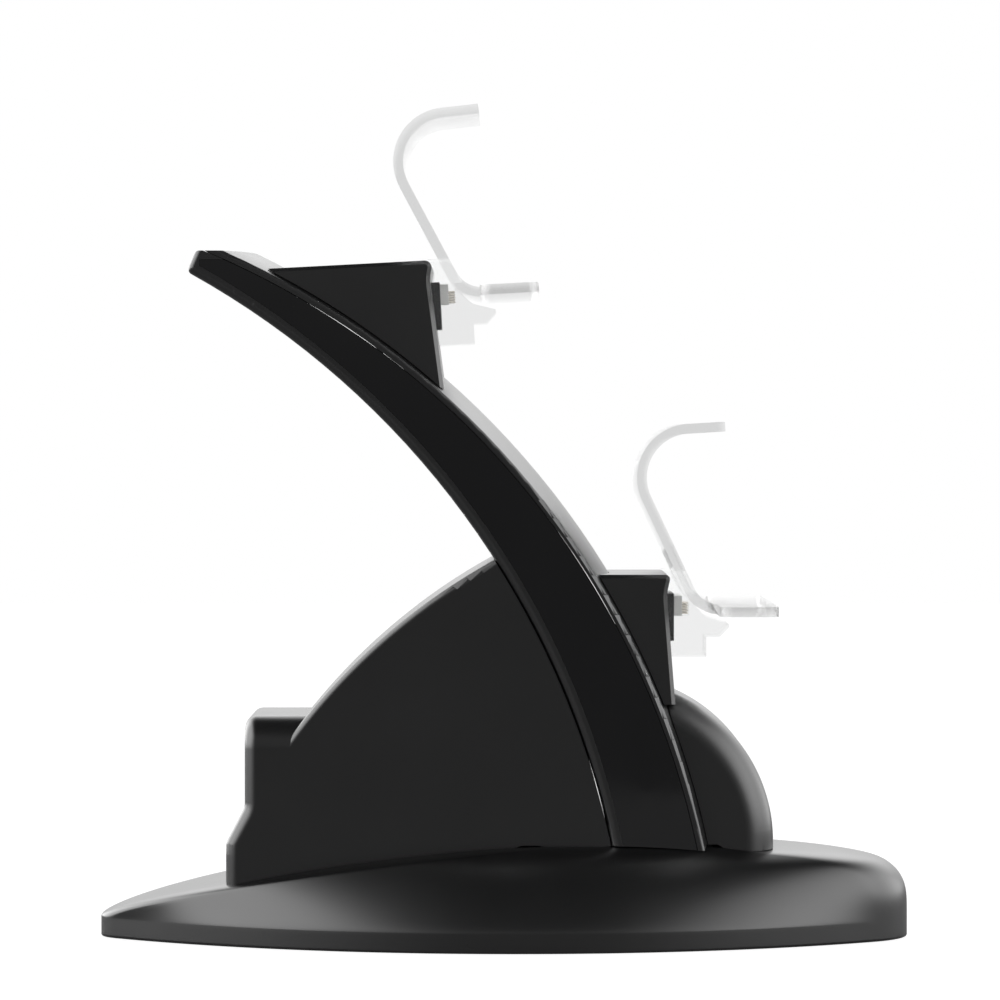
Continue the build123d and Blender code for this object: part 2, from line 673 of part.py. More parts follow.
arm_hollow = crescent(
    Plane.XZ,
    COVER_RADIUS,
    ARM_REAR_RADIUS + ARM_WALL,
    (ARM_TIP_X, BASE_RIM_Z),
    ARM_HOLLOW_TOP_Z,
)
with BuildPart() as arm_rear_shell:
    add(arm_body.part)
    add(cover_cylinder, mode=Mode.INTERSECT)
    extrude(arm_hollow, amount=ARM_WIDTH / 2 - ARM_HOLLOW_SIDE, both=True, mode=Mode.SUBTRACT)
    web_low = (ARM_SCREW_X - ARM_WEB / 2, BASE_RIM_Z)
    web_high = (ARM_SCREW_X + ARM_WEB / 2, ARM_WEB_TOP_Z)
    add(bar(Plane.XZ, web_low, web_high, ARM_WIDTH - 2 * ARM_WALL))
    add(boss(ARM_SCREW_X, BASE_RIM_Z, ARM_WEB_TOP_Z))
    for side in (-1, 1):
        add(panel_form(side, 0, 2 * PANEL_THICKNESS), mode=Mode.SUBTRACT)
    for tunnel in lead_tunnels:
        add(tunnel, mode=Mode.SUBTRACT)
    add(base_seat, mode=Mode.SUBTRACT)
    add(long_screw_holes, mode=Mode.SUBTRACT)
finish(arm_rear_shell, "arm_rear_shell")

with BuildPart() as arm_front_cover:
    add(arm_body.part)
    add(cover_seam_cylinder, mode=Mode.SUBTRACT)
    add(arm_core, mode=Mode.SUBTRACT)
    for opening in lead_openings.values():
        add(opening, mode=Mode.SUBTRACT)
    add(base_seat, mode=Mode.SUBTRACT)
finish(arm_front_cover, "arm_front_cover")

for panel_name, side in (("right", -1), ("left", 1)):
    with BuildPart() as arm_panel:
        add(panel_form(side, PANEL_GAP, PANEL_THICKNESS - PANEL_SINK))
        add(base_seat, mode=Mode.SUBTRACT)
    finish(arm_panel, f"arm_panel_{panel_name}")

# Nose cover
with BuildPart() as nose_cover:
    add(nose_form(0))
    nose_arcs = nose_cover.edges().filter_by(GeomType.CIRCLE)
    fillet(nose_arcs, NOSE_EDGE_ROUND)
    add(nose_form(NOSE_WALL), mode=Mode.SUBTRACT)
    extrude(
        head_outline(cradles["lower"], LOWER_HEAD_ROUND, -SEAM),
        amount=HEAD_WIDTH / 2 + SEAM,
        both=True,
        mode=Mode.SUBTRACT,
    )
    add(arm_front_cylinder, mode=Mode.SUBTRACT)
    add(arm_seat, mode=Mode.SUBTRACT)
    add(base_seat, mode=Mode.SUBTRACT)
finish(nose_cover, "nose_cover")

# Heads, brackets and connectors, alike in both cradles
stem_slope = tan(radians(STEM_LEAN))
bend_corner = (SHELF_START, -SHELF_DROP)
hook_corner = (SHELF_START - (HOOK_HEIGHT + SHELF_DROP) * stem_slope, HOOK_HEIGHT)
hook_tip = (HOOK_REACH, HOOK_HEIGHT + (HOOK_REACH - hook_corner[0]) * tan(radians(HOOK_RISE)))
shelf_tip = (SHELF_REACH, -SHELF_DROP)
flange_low = (-FLANGE_BACK, -FLANGE_FLOOR)
flange_high = (FLANGE_FRONT, FLANGE_HEIGHT - FLANGE_FLOOR)
contact_low = (FLANGE_FRONT, -CONTACT_BLOCK_FLOOR)
contact_high = (FLANGE_FRONT + CONTACT_BLOCK_DEPTH, CONTACT_BLOCK_HEIGHT - CONTACT_BLOCK_FLOOR)
pocket_front = contact_high[0] + CONTACT_LENGTH + FIT

for cradle_name, plane in cradles.items():
    with BuildPart() as head:
        extrude(head_outline(plane, head_rounds[cradle_name], 0), amount=HEAD_WIDTH / 2, both=True)
        side_faces = head.faces().filter_by(Axis.Y)
        back_edges = head.faces().sort_by(Axis((0, 0, 0), plane.x_dir))[0].edges()
        chin_edges = head.faces().sort_by(Axis((0, 0, 0), plane.y_dir))[0].edges()
        chamfer(side_faces.edges() - back_edges - chin_edges, HEAD_CHAMFER)
        hollow = head_outline(plane, head_rounds[cradle_name], HEAD_WALL)
        extrude(hollow, amount=HEAD_WIDTH / 2 - HEAD_WALL, both=True, mode=Mode.SUBTRACT)
        flange_pocket = bar(
            plane,
            (flange_low[0], flange_low[1] - FIT),
            (flange_high[0], flange_high[1] + FIT),
            FLANGE_WIDTH + 2 * FIT,
        )
        add(flange_pocket, mode=Mode.SUBTRACT)
        add(lead_openings[cradle_name], mode=Mode.SUBTRACT)
        add(arm_front_cylinder, mode=Mode.SUBTRACT)
        add(arm_seat, mode=Mode.SUBTRACT)
    finish(head, f"{cradle_name}_head")

    with BuildPart() as shelf:
        shelf_low = (SHELF_REACH - SHELF_DEPTH, -SHELF_DROP - BRACKET_WALL / 2)
        shelf_high = (SHELF_REACH, -SHELF_DROP + BRACKET_WALL / 2)
        add(bar(plane, shelf_low, shelf_high, SHELF_WIDTH))
        fillet(shelf.edges().filter_by(Axis(plane.origin, plane.y_dir)), SHELF_CORNER)

    with BuildPart() as bracket:
        with BuildSketch(plane):
            with BuildLine():
                FilletPolyline(
                    hook_tip, hook_corner, bend_corner, shelf_tip, radius=(HOOK_RADIUS, STEM_BEND_RADIUS)
                )
            trace(line_width=BRACKET_WALL)
        extrude(amount=BRACKET_WIDTH / 2, both=True)
        add(shelf.part)
        with BuildSketch(plane):
            with BuildLine():
                Polyline(
                    (-SOCKET_BACK, -SOCKET_FLOOR),
                    (SOCKET_REACH, -SOCKET_FLOOR),
                    (SOCKET_REACH, -LIP_FOOT),
                    (LIP_HEEL, -LIP_FOOT),
                    (LIP_REACH, -LIP_TOP - LIP_EDGE),
                    (LIP_REACH, -LIP_TOP),
                    (SOCKET_REACH, -SHELF_DROP - BRACKET_WALL),
                    bend_corner,
                    (-SOCKET_BACK, SOCKET_TOP),
                    close=True,
                )
            make_face()
        extrude(amount=SOCKET_WIDTH / 2, both=True)
        with BuildSketch(plane):
            with BuildLine():
                Polyline(
                    (-SOCKET_BACK, -SHELF_DROP),
                    (-SOCKET_BACK, GUSSET_TOP),
                    (GUSSET_REACH, GUSSET_TOP),
                    bend_corner,
                    close=True,
                )
            make_face()
        extrude(amount=SOCKET_WIDTH / 2, both=True)
        add(
            bar(
                plane,
                (-SOCKET_BACK, contact_high[1]),
                (SHELF_START, GUSSET_TOP),
                SOCKET_WIDTH - 2 * GUSSET_THICKNESS,
            ),
            mode=Mode.SUBTRACT,
        )
        extrude(
            head_outline(plane, head_rounds[cradle_name], -SEAM),
            amount=HEAD_WIDTH / 2,
            both=True,
            mode=Mode.SUBTRACT,
        )
        add(flange_pocket, mode=Mode.SUBTRACT)
        add(
            bar(
                plane,
                (-SOCKET_BACK, contact_low[1] - FIT),
                (pocket_front, contact_high[1]),
                CONTACT_BLOCK_WIDTH + 2 * FIT,
            ),
            mode=Mode.SUBTRACT,
        )
    finish(bracket, f"{cradle_name}_bracket")

    with BuildPart() as flange:
        add(bar(plane, flange_low, flange_high, FLANGE_WIDTH))
    finish(flange, f"{cradle_name}_plug_flange")

    with BuildPart() as contact_block:
        add(bar(plane, contact_low, contact_high, CONTACT_BLOCK_WIDTH))
    finish(contact_block, f"{cradle_name}_contact_block")

    with BuildPart() as contacts:
        for index in range(CONTACT_COUNT):
            blade_v = contact_low[1] + CONTACT_THICKNESS + index * CONTACT_PITCH
            blade_low = (contact_high[0], blade_v)
            blade_high = (contact_high[0] + CONTACT_LENGTH, blade_v + CONTACT_THICKNESS)
            add(bar(plane, blade_low, blade_high, CONTACT_WIDTH))
    finish(contacts, f"{cradle_name}_contacts")

    with BuildPart() as lead:
        add(ribbon(lead_routes[cradle_name], lead_ys[cradle_name], 0))
    finish(lead, f"{cradle_name}_lead")

# Charge board and power inlet
with BuildPart() as charge_board:
    add(bar(Plane.XZ, (BOARD_REAR_X, BOARD_Z), (BOARD_FRONT_X, BOARD_TOP_Z), BOARD_WIDTH))
finish(charge_board, "charge_board")

inlet_back_x = BLOCK_REAR_X + INLET_DEPTH
inlet_top_z = BOARD_TOP_Z + INLET_HEIGHT
with BuildPart() as power_inlet:
    add(bar(Plane.XZ, (BLOCK_REAR_X, BOARD_TOP_Z), (inlet_back_x, inlet_top_z), INLET_WIDTH))
    add(
        bar(
            Plane.XZ,
            (BLOCK_REAR_X, BOARD_TOP_Z + INLET_WALL),
            (inlet_back_x - INLET_WALL, inlet_top_z - INLET_WALL),
            INLET_WIDTH - 2 * INLET_WALL,
        ),
        mode=Mode.SUBTRACT,
    )
finish(power_inlet, "power_inlet")

tongue_z = BOARD_TOP_Z + (INLET_HEIGHT - TONGUE_HEIGHT) / 2
tongue_back_x = inlet_back_x - INLET_WALL
with BuildPart() as inlet_tongue:
    add(
        bar(
            Plane.XZ,
            (tongue_back_x - TONGUE_LENGTH, tongue_z),
            (tongue_back_x, tongue_z + TONGUE_HEIGHT),
            TONGUE_WIDTH,
        )
    )
finish(inlet_tongue, "inlet_tongue")
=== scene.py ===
"""Looks of a controller charging dock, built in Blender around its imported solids."""

import logging
from dataclasses import dataclass, field
from enum import Enum
from math import asin, pi, radians, sqrt, tan
from typing import Callable, ClassVar, Iterable, Union

import bmesh
import bpy
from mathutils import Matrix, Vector


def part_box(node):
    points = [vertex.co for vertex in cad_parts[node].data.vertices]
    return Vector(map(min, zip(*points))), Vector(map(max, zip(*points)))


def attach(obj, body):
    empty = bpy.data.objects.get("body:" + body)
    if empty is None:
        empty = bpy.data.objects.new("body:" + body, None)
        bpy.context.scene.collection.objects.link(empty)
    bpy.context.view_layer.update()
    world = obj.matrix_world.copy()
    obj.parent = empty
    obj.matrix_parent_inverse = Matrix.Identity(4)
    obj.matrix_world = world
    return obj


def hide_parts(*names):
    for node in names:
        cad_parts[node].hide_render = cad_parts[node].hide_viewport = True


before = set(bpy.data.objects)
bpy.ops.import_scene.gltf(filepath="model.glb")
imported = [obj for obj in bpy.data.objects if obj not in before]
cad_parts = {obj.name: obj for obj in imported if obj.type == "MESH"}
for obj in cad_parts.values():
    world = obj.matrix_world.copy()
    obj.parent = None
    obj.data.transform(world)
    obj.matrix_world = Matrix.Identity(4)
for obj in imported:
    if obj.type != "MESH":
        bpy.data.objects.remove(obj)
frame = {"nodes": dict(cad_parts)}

LOG = logging.getLogger("dock")
MILLIMETRE = 0.001
ROOT_BODY = "root"
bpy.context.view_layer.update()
WHITE = (1.0, 1.0, 1.0)

Triple = tuple[float, float, float]
Span = tuple[float, float]
Given = Union[dict, None]
Sizes = dict[str, Union[float, int, Triple]]
Socket = bpy.types.NodeSocket
Piece = bpy.types.Object
Number = Union[int, float, "Value"]
Rule = Callable[["Value", "Value"], tuple[Number, Number, Number]]


class Slot(Enum):
    """Material slots of the record that pieces take their finish from."""

    SATIN = "satin_black"
    GLOSS = "gloss_black"
    CLEAR = "clear_plastic"
    RUBBER = "foot_rubber"
    STEEL = "screw_steel"
    PLUG = "plug_dark"
    IVORY = "contact_ivory"
    BRASS = "contact_brass"
    SHEATH = "lead_sheath"
    BOARD = "board_green"
    INLET = "inlet_steel"


class Level(Enum):
    """The two cradles on the arm."""

    UPPER = "upper"
    LOWER = "lower"


class Side(Enum):
    """The two sides of the arm."""

    RIGHT = "right"
    LEFT = "left"


def arithmetic(operation: str, swapped: bool = False) -> Callable[..., "Value"]:
    """Make a method of a value that adds one Math node.

    Args:
        operation: Name of the Math node's operation.
        swapped: Whether the value itself comes last.

    Returns:
        The method.
    """

    def method(value: "Value", *others: Number) -> "Value":
        """Put a value and the other numbers into a new Math node."""
        operands = (*others, value) if swapped else (value, *others)
        return value.graph.value("ShaderNodeMath", 0, {"operation": operation}, dict(enumerate(operands)))

    return method


class Value:
    """A number socket of a node tree that takes part in Python arithmetic."""

    __add__ = arithmetic("ADD")
    __radd__ = arithmetic("ADD", True)
    __sub__ = arithmetic("SUBTRACT")
    __rsub__ = arithmetic("SUBTRACT", True)
    __mul__ = arithmetic("MULTIPLY")
    __rmul__ = arithmetic("MULTIPLY", True)
    __truediv__ = arithmetic("DIVIDE")
    __rtruediv__ = arithmetic("DIVIDE", True)
    __pow__ = arithmetic("POWER")
    __rpow__ = arithmetic("POWER", True)
    __abs__ = arithmetic("ABSOLUTE")
    root = arithmetic("SQRT")
    sine = arithmetic("SINE")
    cosine = arithmetic("COSINE")
    bearing = arithmetic("ARCTAN2")
    sign = arithmetic("SIGN")
    below = arithmetic("LESS_THAN")
    larger = arithmetic("MAXIMUM")

    def __init__(self, graph: "Graph", socket: Socket) -> None:
        """Wrap one output socket of a graph.

        Args:
            graph: The graph that new Math nodes are added to.
            socket: The output socket that holds the number.
        """
        self.graph = graph
        self.socket = socket

    def share(self, low: Number, high: Number) -> "Value":
        """How far this number has come from one limit to another, from 0 to 1."""
        return self.graph.value("ShaderNodeMapRange", 0, None, {0: self, 1: low, 2: high})

    def ramp(self, low: Number, high: Number) -> "Value":
        """Smooth step of this number between two limits."""
        settings = {"interpolation_type": "SMOOTHSTEP"}
        return self.graph.value("ShaderNodeMapRange", 0, settings, {0: self, 1: low, 2: high})


class Graph:
    """A node tree that is filled from Python."""

    def __init__(self, tree: bpy.types.NodeTree) -> None:
        """Start from an empty tree.

        Args:
            tree: The node tree, which loses the nodes that it has.
        """
        self.tree = tree
        tree.nodes.clear()

    def node(self, kind: str, settings: Given = None, inputs: Given = None) -> bpy.types.Node:
        """Add one node.

        Args:
            kind: Type of the node.
            settings: Its own properties, which are set first.
            inputs: Values or links of its sockets by name or place; a list holds several links.

        Returns:
            The new node.
        """
        node = self.tree.nodes.new(kind)
        for name, setting in (settings or {}).items():
            setattr(node, name, setting)
        for key, given in (inputs or {}).items():
            for part in given if isinstance(given, list) else [given]:
                source = part.socket if isinstance(part, Value) else part
                if isinstance(source, Socket):
                    self.tree.links.new(source, node.inputs[key])
                else:
                    node.inputs[key].default_value = source
        return node

    def link(self, kind: str, settings: Given = None, inputs: Given = None) -> Socket:
        """Add one node and give its first output."""
        return self.node(kind, settings, inputs).outputs[0]

    def value(self, kind: str, output: int | str, settings: Given = None, inputs: Given = None) -> Value:
        """Add one node and wrap one of its outputs.

        Args:
            kind: Type of the node.
            output: Name or place of the output.
            settings: Its own properties.
            inputs: Values or links of its sockets.

        Returns:
            The wrapped output.
        """
        return Value(self, self.node(kind, settings, inputs).outputs[output])

    def parts(self, vector: Socket) -> list[Value]:
        """Three parts of a vector."""
        node = self.node("ShaderNodeSeparateXYZ", None, {0: vector})
        return [Value(self, output) for output in node.outputs]

    def vector(self, x: Number, y: Number, z: Number) -> Socket:
        """Vector of three numbers."""
        return self.link("ShaderNodeCombineXYZ", None, {0: x, 1: y, 2: z})

    def place(self) -> Socket:
        """Object coordinates of the surface."""
        return self.node("ShaderNodeTexCoord").outputs["Object"]

    def noise(self, scale: float, detail: float = 2.0, stretch: Triple = (1.0, 1.0, 1.0)) -> Value:
        """Noise over the surface.

        Args:
            scale: Patches to a metre.
            detail: Octaves of finer noise.
            stretch: Scale along each axis.

        Returns:
            Noise around a half.
        """
        mapping = self.link("ShaderNodeMapping", None, {"Vector": self.place(), "Scale": stretch})
        inputs = {"Vector": mapping, "Scale": scale, "Detail": detail}
        return self.value("ShaderNodeTexNoise", 0, None, inputs)

    def blend(self, share: Number, first: object, last: object) -> Socket:
        """Mix two colours.

        Args:
            share: Share of the last colour.
            first: Colour or socket at share 0.
            last: Colour or socket at share 1.

        Returns:
            Socket of the mixed colour.
        """
        sockets = {0: share, 6: shade(first, 1.0), 7: shade(last, 1.0)}
        return self.node("ShaderNodeMix", {"data_type": "RGBA"}, sockets).outputs[2]

    def bump(self, height: Value, distance: float, strength: float) -> Socket:
        """Normal that a height pattern gives.

        Args:
            height: Height from 0 to 1.
            distance: Height of 1 in metres.
            strength: Strength of the bump.

        Returns:
            Socket of the normal.
        """
        inputs = {"Height": height, "Distance": distance, "Strength": strength}
        return self.link("ShaderNodeBump", None, inputs)


def shade(colour: object, factor: float) -> object:
    """Scale a colour, and leave a socket as it is.

    Args:
        colour: Three parts of a colour, or a socket.
        factor: Factor for each part.

    Returns:
        The colour with its alpha, or the socket.
    """
    if isinstance(colour, Socket):
        return colour
    return (*(part * factor for part in colour[:3]), 1.0)


@dataclass(frozen=True)
class Finish:
    """What all finishes share: the record's slot and the colour."""

    slot: Slot
    colour: Triple

    def dress(self, graph: Graph) -> dict:
        """Inputs of the shader for this finish.

        Args:
            graph: The material's graph.

        Returns:
            Values and links by the name of the shader's socket.
        """
        raise NotImplementedError

    def inside(self, graph: Graph) -> dict:
        """What fills the piece behind its surface, which is nothing for most finishes."""
        return {}

    def material(self) -> bpy.types.Material:
        """Material of this finish, made once.

        Returns:
            The material.
        """
        name = f"{self.slot.value}_finish"
        found = bpy.data.materials.get(name)
        if found:
            return found
        material = bpy.data.materials.new(name)
        material.use_nodes = True
        graph = Graph(material.node_tree)
        shader = graph.link("ShaderNodeBsdfPrincipled", None, self.dress(graph))
        graph.node("ShaderNodeOutputMaterial", None, {"Surface": shader, **self.inside(graph)})
        material.diffuse_color = shade(self.colour, 1.0)
        return material


@dataclass(frozen=True)
class MouldedPlastic(Finish):
    """Plastic from a spark-eroded mould, with a fine grain and slight flow marks."""

    roughness: float = 0.4
    roughness_spread: float = 0.08
    grain_scale: float = 4200.0
    grain_height: float = 0.00004
    grain_strength: float = 0.05
    grain_spread: float = 0.05
    flow_scale: float = 38.0
    flow_detail: float = 3.0
    tone_spread: float = 0.18
    refraction: float = 1.5

    def dress(self, graph: Graph) -> dict:
        """Inputs of the shader for this finish.

        Args:
            graph: The material's graph.

        Returns:
            Values and links by the name of the shader's socket.
        """
        flow = graph.noise(self.flow_scale, self.flow_detail)
        grain = graph.noise(self.grain_scale, 1.0)
        low = shade(self.colour, 1.0 - self.tone_spread)
        high = shade(self.colour, 1.0 + self.tone_spread)
        rough = self.roughness + self.roughness_spread * (flow - 0.5)
        return {
            "Base Color": graph.blend(flow, low, high),
            "Roughness": rough + self.grain_spread * (grain - 0.5),
            "Normal": graph.bump(grain, self.grain_height, self.grain_strength),
            "IOR": self.refraction,
        }


@dataclass(frozen=True)
class PolishedPlastic(Finish):
    """Polished plastic whose sheen waves a little and carries faint wipe marks."""

    roughness: float = 0.03
    smear: float = 0.06
    wave_scale: float = 60.0
    wave_height: float = 0.0004
    wave_strength: float = 0.1
    wipe_scale: float = 55.0
    wipe_detail: float = 4.0
    wipe_stretch: Triple = (1.0, 1.0, 0.25)
    wipe_span: Span = (0.45, 0.75)
    tones: Span = (0.8, 1.3)

    def dress(self, graph: Graph) -> dict:
        """Inputs of the shader for this finish.

        Args:
            graph: The material's graph.

        Returns:
            Values and links by the name of the shader's socket.
        """
        wave = graph.noise(self.wave_scale, 0.0)
        wipe = graph.noise(self.wipe_scale, self.wipe_detail, self.wipe_stretch)
        low, high = (shade(self.colour, tone) for tone in self.tones)
        return {
            "Base Color": graph.blend(wipe, low, high),
            "Roughness": self.roughness + self.smear * wipe.ramp(*self.wipe_span),
            "Normal": graph.bump(wave, self.wave_height, self.wave_strength),
        }


@dataclass(frozen=True)
class ClearPlastic(Finish):
    """Clear moulded plastic with soft flow marks, which dims along a long way through it."""

    refraction: float = 1.49
    roughness: float = 0.02
    haze: float = 0.05
    dimming: float = 9.0
    cover: float = 0.55
    flow_scale: float = 60.0
    flow_stretch: Triple = (1.0, 0.35, 1.0)
    flow_span: Span = (0.5, 0.8)
    flow_height: float = 0.0002
    flow_strength: float = 0.08

    def dress(self, graph: Graph) -> dict:
        """Inputs of the shader for this finish.

        Args:
            graph: The material's graph.

        Returns:
            Values and links by the name of the shader's socket.
        """
        flow = graph.noise(self.flow_scale, stretch=self.flow_stretch)
        return {
            "Base Color": shade(self.colour, 1.0),
            "Roughness": self.roughness + self.haze * flow.ramp(*self.flow_span),
            "Normal": graph.bump(flow, self.flow_height, self.flow_strength),
            "Transmission Weight": 1.0,
            "IOR": self.refraction,
            "Alpha": self.cover,
        }

    def inside(self, graph: Graph) -> dict:
        """Plastic that takes away a little light over each millimetre."""
        inputs = {"Color": (0.0, 0.0, 0.0, 1.0), "Density": self.dimming}
        return {"Volume": graph.link("ShaderNodeVolumeAbsorption", None, inputs)}


@dataclass(frozen=True)
class PlatedMetal(Finish):
    """Plated metal with fine draw lines."""

    roughness: float = 0.3
    lines: Triple = (1.0, 1.0, 0.06)
    line_scale: float = 2600.0
    line_spread: float = 0.18
    line_height: float = 0.00002
    line_strength: float = 0.15
    tarnish_scale: float = 160.0
    tarnish_detail: float = 3.0
    tones: Span = (0.85, 1.1)

    def dress(self, graph: Graph) -> dict:
        """Inputs of the shader for this finish.

        Args:
            graph: The material's graph.

        Returns:
            Values and links by the name of the shader's socket.
        """
        line = graph.noise(self.line_scale, stretch=self.lines)
        tarnish = graph.noise(self.tarnish_scale, self.tarnish_detail)
        low, high = (shade(self.colour, tone) for tone in self.tones)
        return {
            "Base Color": graph.blend(tarnish, low, high),
            "Metallic": 1.0,
            "Roughness": self.roughness + self.line_spread * (line - 0.5),
            "Normal": graph.bump(line, self.line_height, self.line_strength),
        }


@dataclass(frozen=True)
class LacqueredBoard(Finish):
    """Lacquered circuit board with tracks and pads under the lacquer."""

    track: Triple = (0.12, 0.32, 0.14)
    pad: Triple = (0.55, 0.45, 0.22)
    track_scale: float = 260.0
    track_width: float = 0.035
    pad_scale: float = 420.0
    pad_span: Span = (0.16, 0.2)
    roughness: float = 0.38
    pad_polish: float = 0.12
    relief: float = 0.00004
    relief_strength: float = 0.5

    def dress(self, graph: Graph) -> dict:
        """Inputs of the shader for this finish.

        Args:
            graph: The material's graph.

        Returns:
            Values and links by the name of the shader's socket.
        """
        settings = {"offset": 0.35, "squash": 0.6}
        inputs = {"Vector": graph.place(), "Scale": self.track_scale, "Mortar Size": self.track_width}
        tracks = graph.value("ShaderNodeTexBrick", 1, settings, inputs)
        spots = {"Vector": graph.place(), "Scale": self.pad_scale, "Randomness": 0.7}
        pads = 1.0 - graph.value("ShaderNodeTexVoronoi", 0, None, spots).ramp(*self.pad_span)
        lacquer = graph.blend(tracks, self.colour, self.track)
        return {
            "Base Color": graph.blend(pads, lacquer, self.pad),
            "Roughness": self.roughness - self.pad_polish * pads,
            "Normal": graph.bump(tracks.larger(pads), self.relief, self.relief_strength),
        }


FINISHES: dict[Slot, Finish] = {
    finish.slot: finish
    for finish in (
        MouldedPlastic(Slot.SATIN, (0.005, 0.005, 0.0053), roughness=0.3, refraction=1.54),
        PolishedPlastic(Slot.GLOSS, (0.0035, 0.0035, 0.004)),
        ClearPlastic(Slot.CLEAR, (0.985, 0.99, 0.99)),
        MouldedPlastic(Slot.RUBBER, (0.022, 0.022, 0.022), roughness=0.8, grain_scale=1500.0),
        PlatedMetal(Slot.STEEL, (0.55, 0.55, 0.56)),
        MouldedPlastic(Slot.PLUG, (0.012, 0.012, 0.013), roughness=0.5),
        MouldedPlastic(Slot.IVORY, (0.9, 0.9, 0.88), roughness=0.45, tone_spread=0.04),
        PlatedMetal(Slot.BRASS, (0.75, 0.71, 0.64), lines=(1.0, 0.05, 1.0)),
        MouldedPlastic(Slot.SHEATH, (0.03, 0.03, 0.03), roughness=0.55, grain_scale=1800.0),
        LacqueredBoard(Slot.BOARD, (0.02, 0.12, 0.045)),
        PlatedMetal(Slot.INLET, (0.6, 0.6, 0.6), lines=(0.05, 1.0, 1.0)),
    )
}


class Recipe:
    """A Geometry Nodes tree with named sizes, whose results become plain meshes."""

    MEETING = 0.0005 * MILLIMETRE

    def __init__(self, name: str, sizes: Sizes) -> None:
        """Start a tree with one input for each size.

        Args:
            name: Name of the tree.
            sizes: The inputs' names with a number or a place for each, which gives its kind.
        """
        self.tree = bpy.data.node_groups.new(name, "GeometryNodeTree")
        self.graph = Graph(self.tree)
        face = self.tree.interface
        face.new_socket("Geometry", in_out="OUTPUT", socket_type="NodeSocketGeometry")
        self.keys: dict[str, str] = {}
        kinds = {tuple: "NodeSocketVector", int: "NodeSocketInt", float: "NodeSocketFloat"}
        for label, size in sizes.items():
            socket = face.new_socket(label, in_out="INPUT", socket_type=kinds[type(size)])
            self.keys[label] = socket.identifier
        self.entry = self.graph.node("NodeGroupInput")

    def size(self, label: str) -> Value:
        """One of the tree's sizes."""
        return Value(self.graph, self.entry.outputs[label])

    def patch(self, columns: int, rows: int, rule: Rule) -> Socket:
        """Grid whose points go where a rule puts them.

        Args:
            columns: Points along the first way of the grid.
            rows: Points along the other way.
            rule: Gives X, Y and Z for how far a point lies along both ways, from 0 to 1.

        Returns:
            Socket of the shape.
        """
        graph = self.graph
        counts = {"Size X": 1.0, "Size Y": 1.0, "Vertices X": columns, "Vertices Y": rows}
        grid = graph.link("GeometryNodeMeshGrid", None, counts)
        across, along, _ = graph.parts(graph.link("GeometryNodeInputPosition"))
        target = graph.vector(*rule(across + 0.5, along + 0.5))
        return graph.link("GeometryNodeSetPosition", None, {"Geometry": grid, "Position": target})

    def weld(self, *shapes: Socket) -> Socket:
        """Join shapes where their points meet, and shade them smoothly."""
        joined = self.graph.link("GeometryNodeJoinGeometry", None, {0: list(shapes)})
        inputs = {"Geometry": joined, "Distance": self.MEETING}
        welded = self.graph.link("GeometryNodeMergeByDistance", None, inputs)
        return self.graph.link("GeometryNodeSetShadeSmooth", None, {"Geometry": welded})

    def repeat(self, shape: Socket, count: Number) -> Socket:
        """Copies of a shape in a row, from the first place on by a step."""
        row = {"Count": count, "Start Location": self.size("First Place"), "Offset": self.size("Step")}
        points = self.graph.link("GeometryNodeMeshLine", None, row)
        return self.graph.link("GeometryNodeInstanceOnPoints", None, {"Points": points, "Instance": shape})

    def close(self, shape: Socket, slot: Slot) -> None:
        """End the tree with plain geometry in a finish.

        Args:
            shape: Socket of the shape.
            slot: The slot that it takes its finish from.
        """
        plain = self.graph.link("GeometryNodeRealizeInstances", None, {"Geometry": shape})
        inputs = {"Geometry": plain, "Material": FINISHES[slot].material()}
        dressed = self.graph.link("GeometryNodeSetMaterial", None, inputs)
        self.graph.node("NodeGroupOutput", None, {0: dressed})

    def make(self, name: str, sizes: Sizes) -> Piece:
        """Run the tree once and keep its result as a plain mesh.

        Args:
            name: Name of the new piece.
            sizes: A size for each of the tree's inputs.

        Returns:
            The new object.
        """
        start = bpy.data.meshes.new(f"{name}_start")
        piece = bpy.data.objects.new(name, start)
        bpy.context.scene.collection.objects.link(piece)
        growth = piece.modifiers.new(self.tree.name, "NODES")
        growth.node_group = self.tree
        for label, size in sizes.items():
            growth[self.keys[label]] = size
        grown = piece.evaluated_get(bpy.context.evaluated_depsgraph_get())
        mesh = bpy.data.meshes.new_from_object(grown)
        piece.modifiers.remove(growth)
        piece.data = mesh
        bpy.data.meshes.remove(start)
        return piece


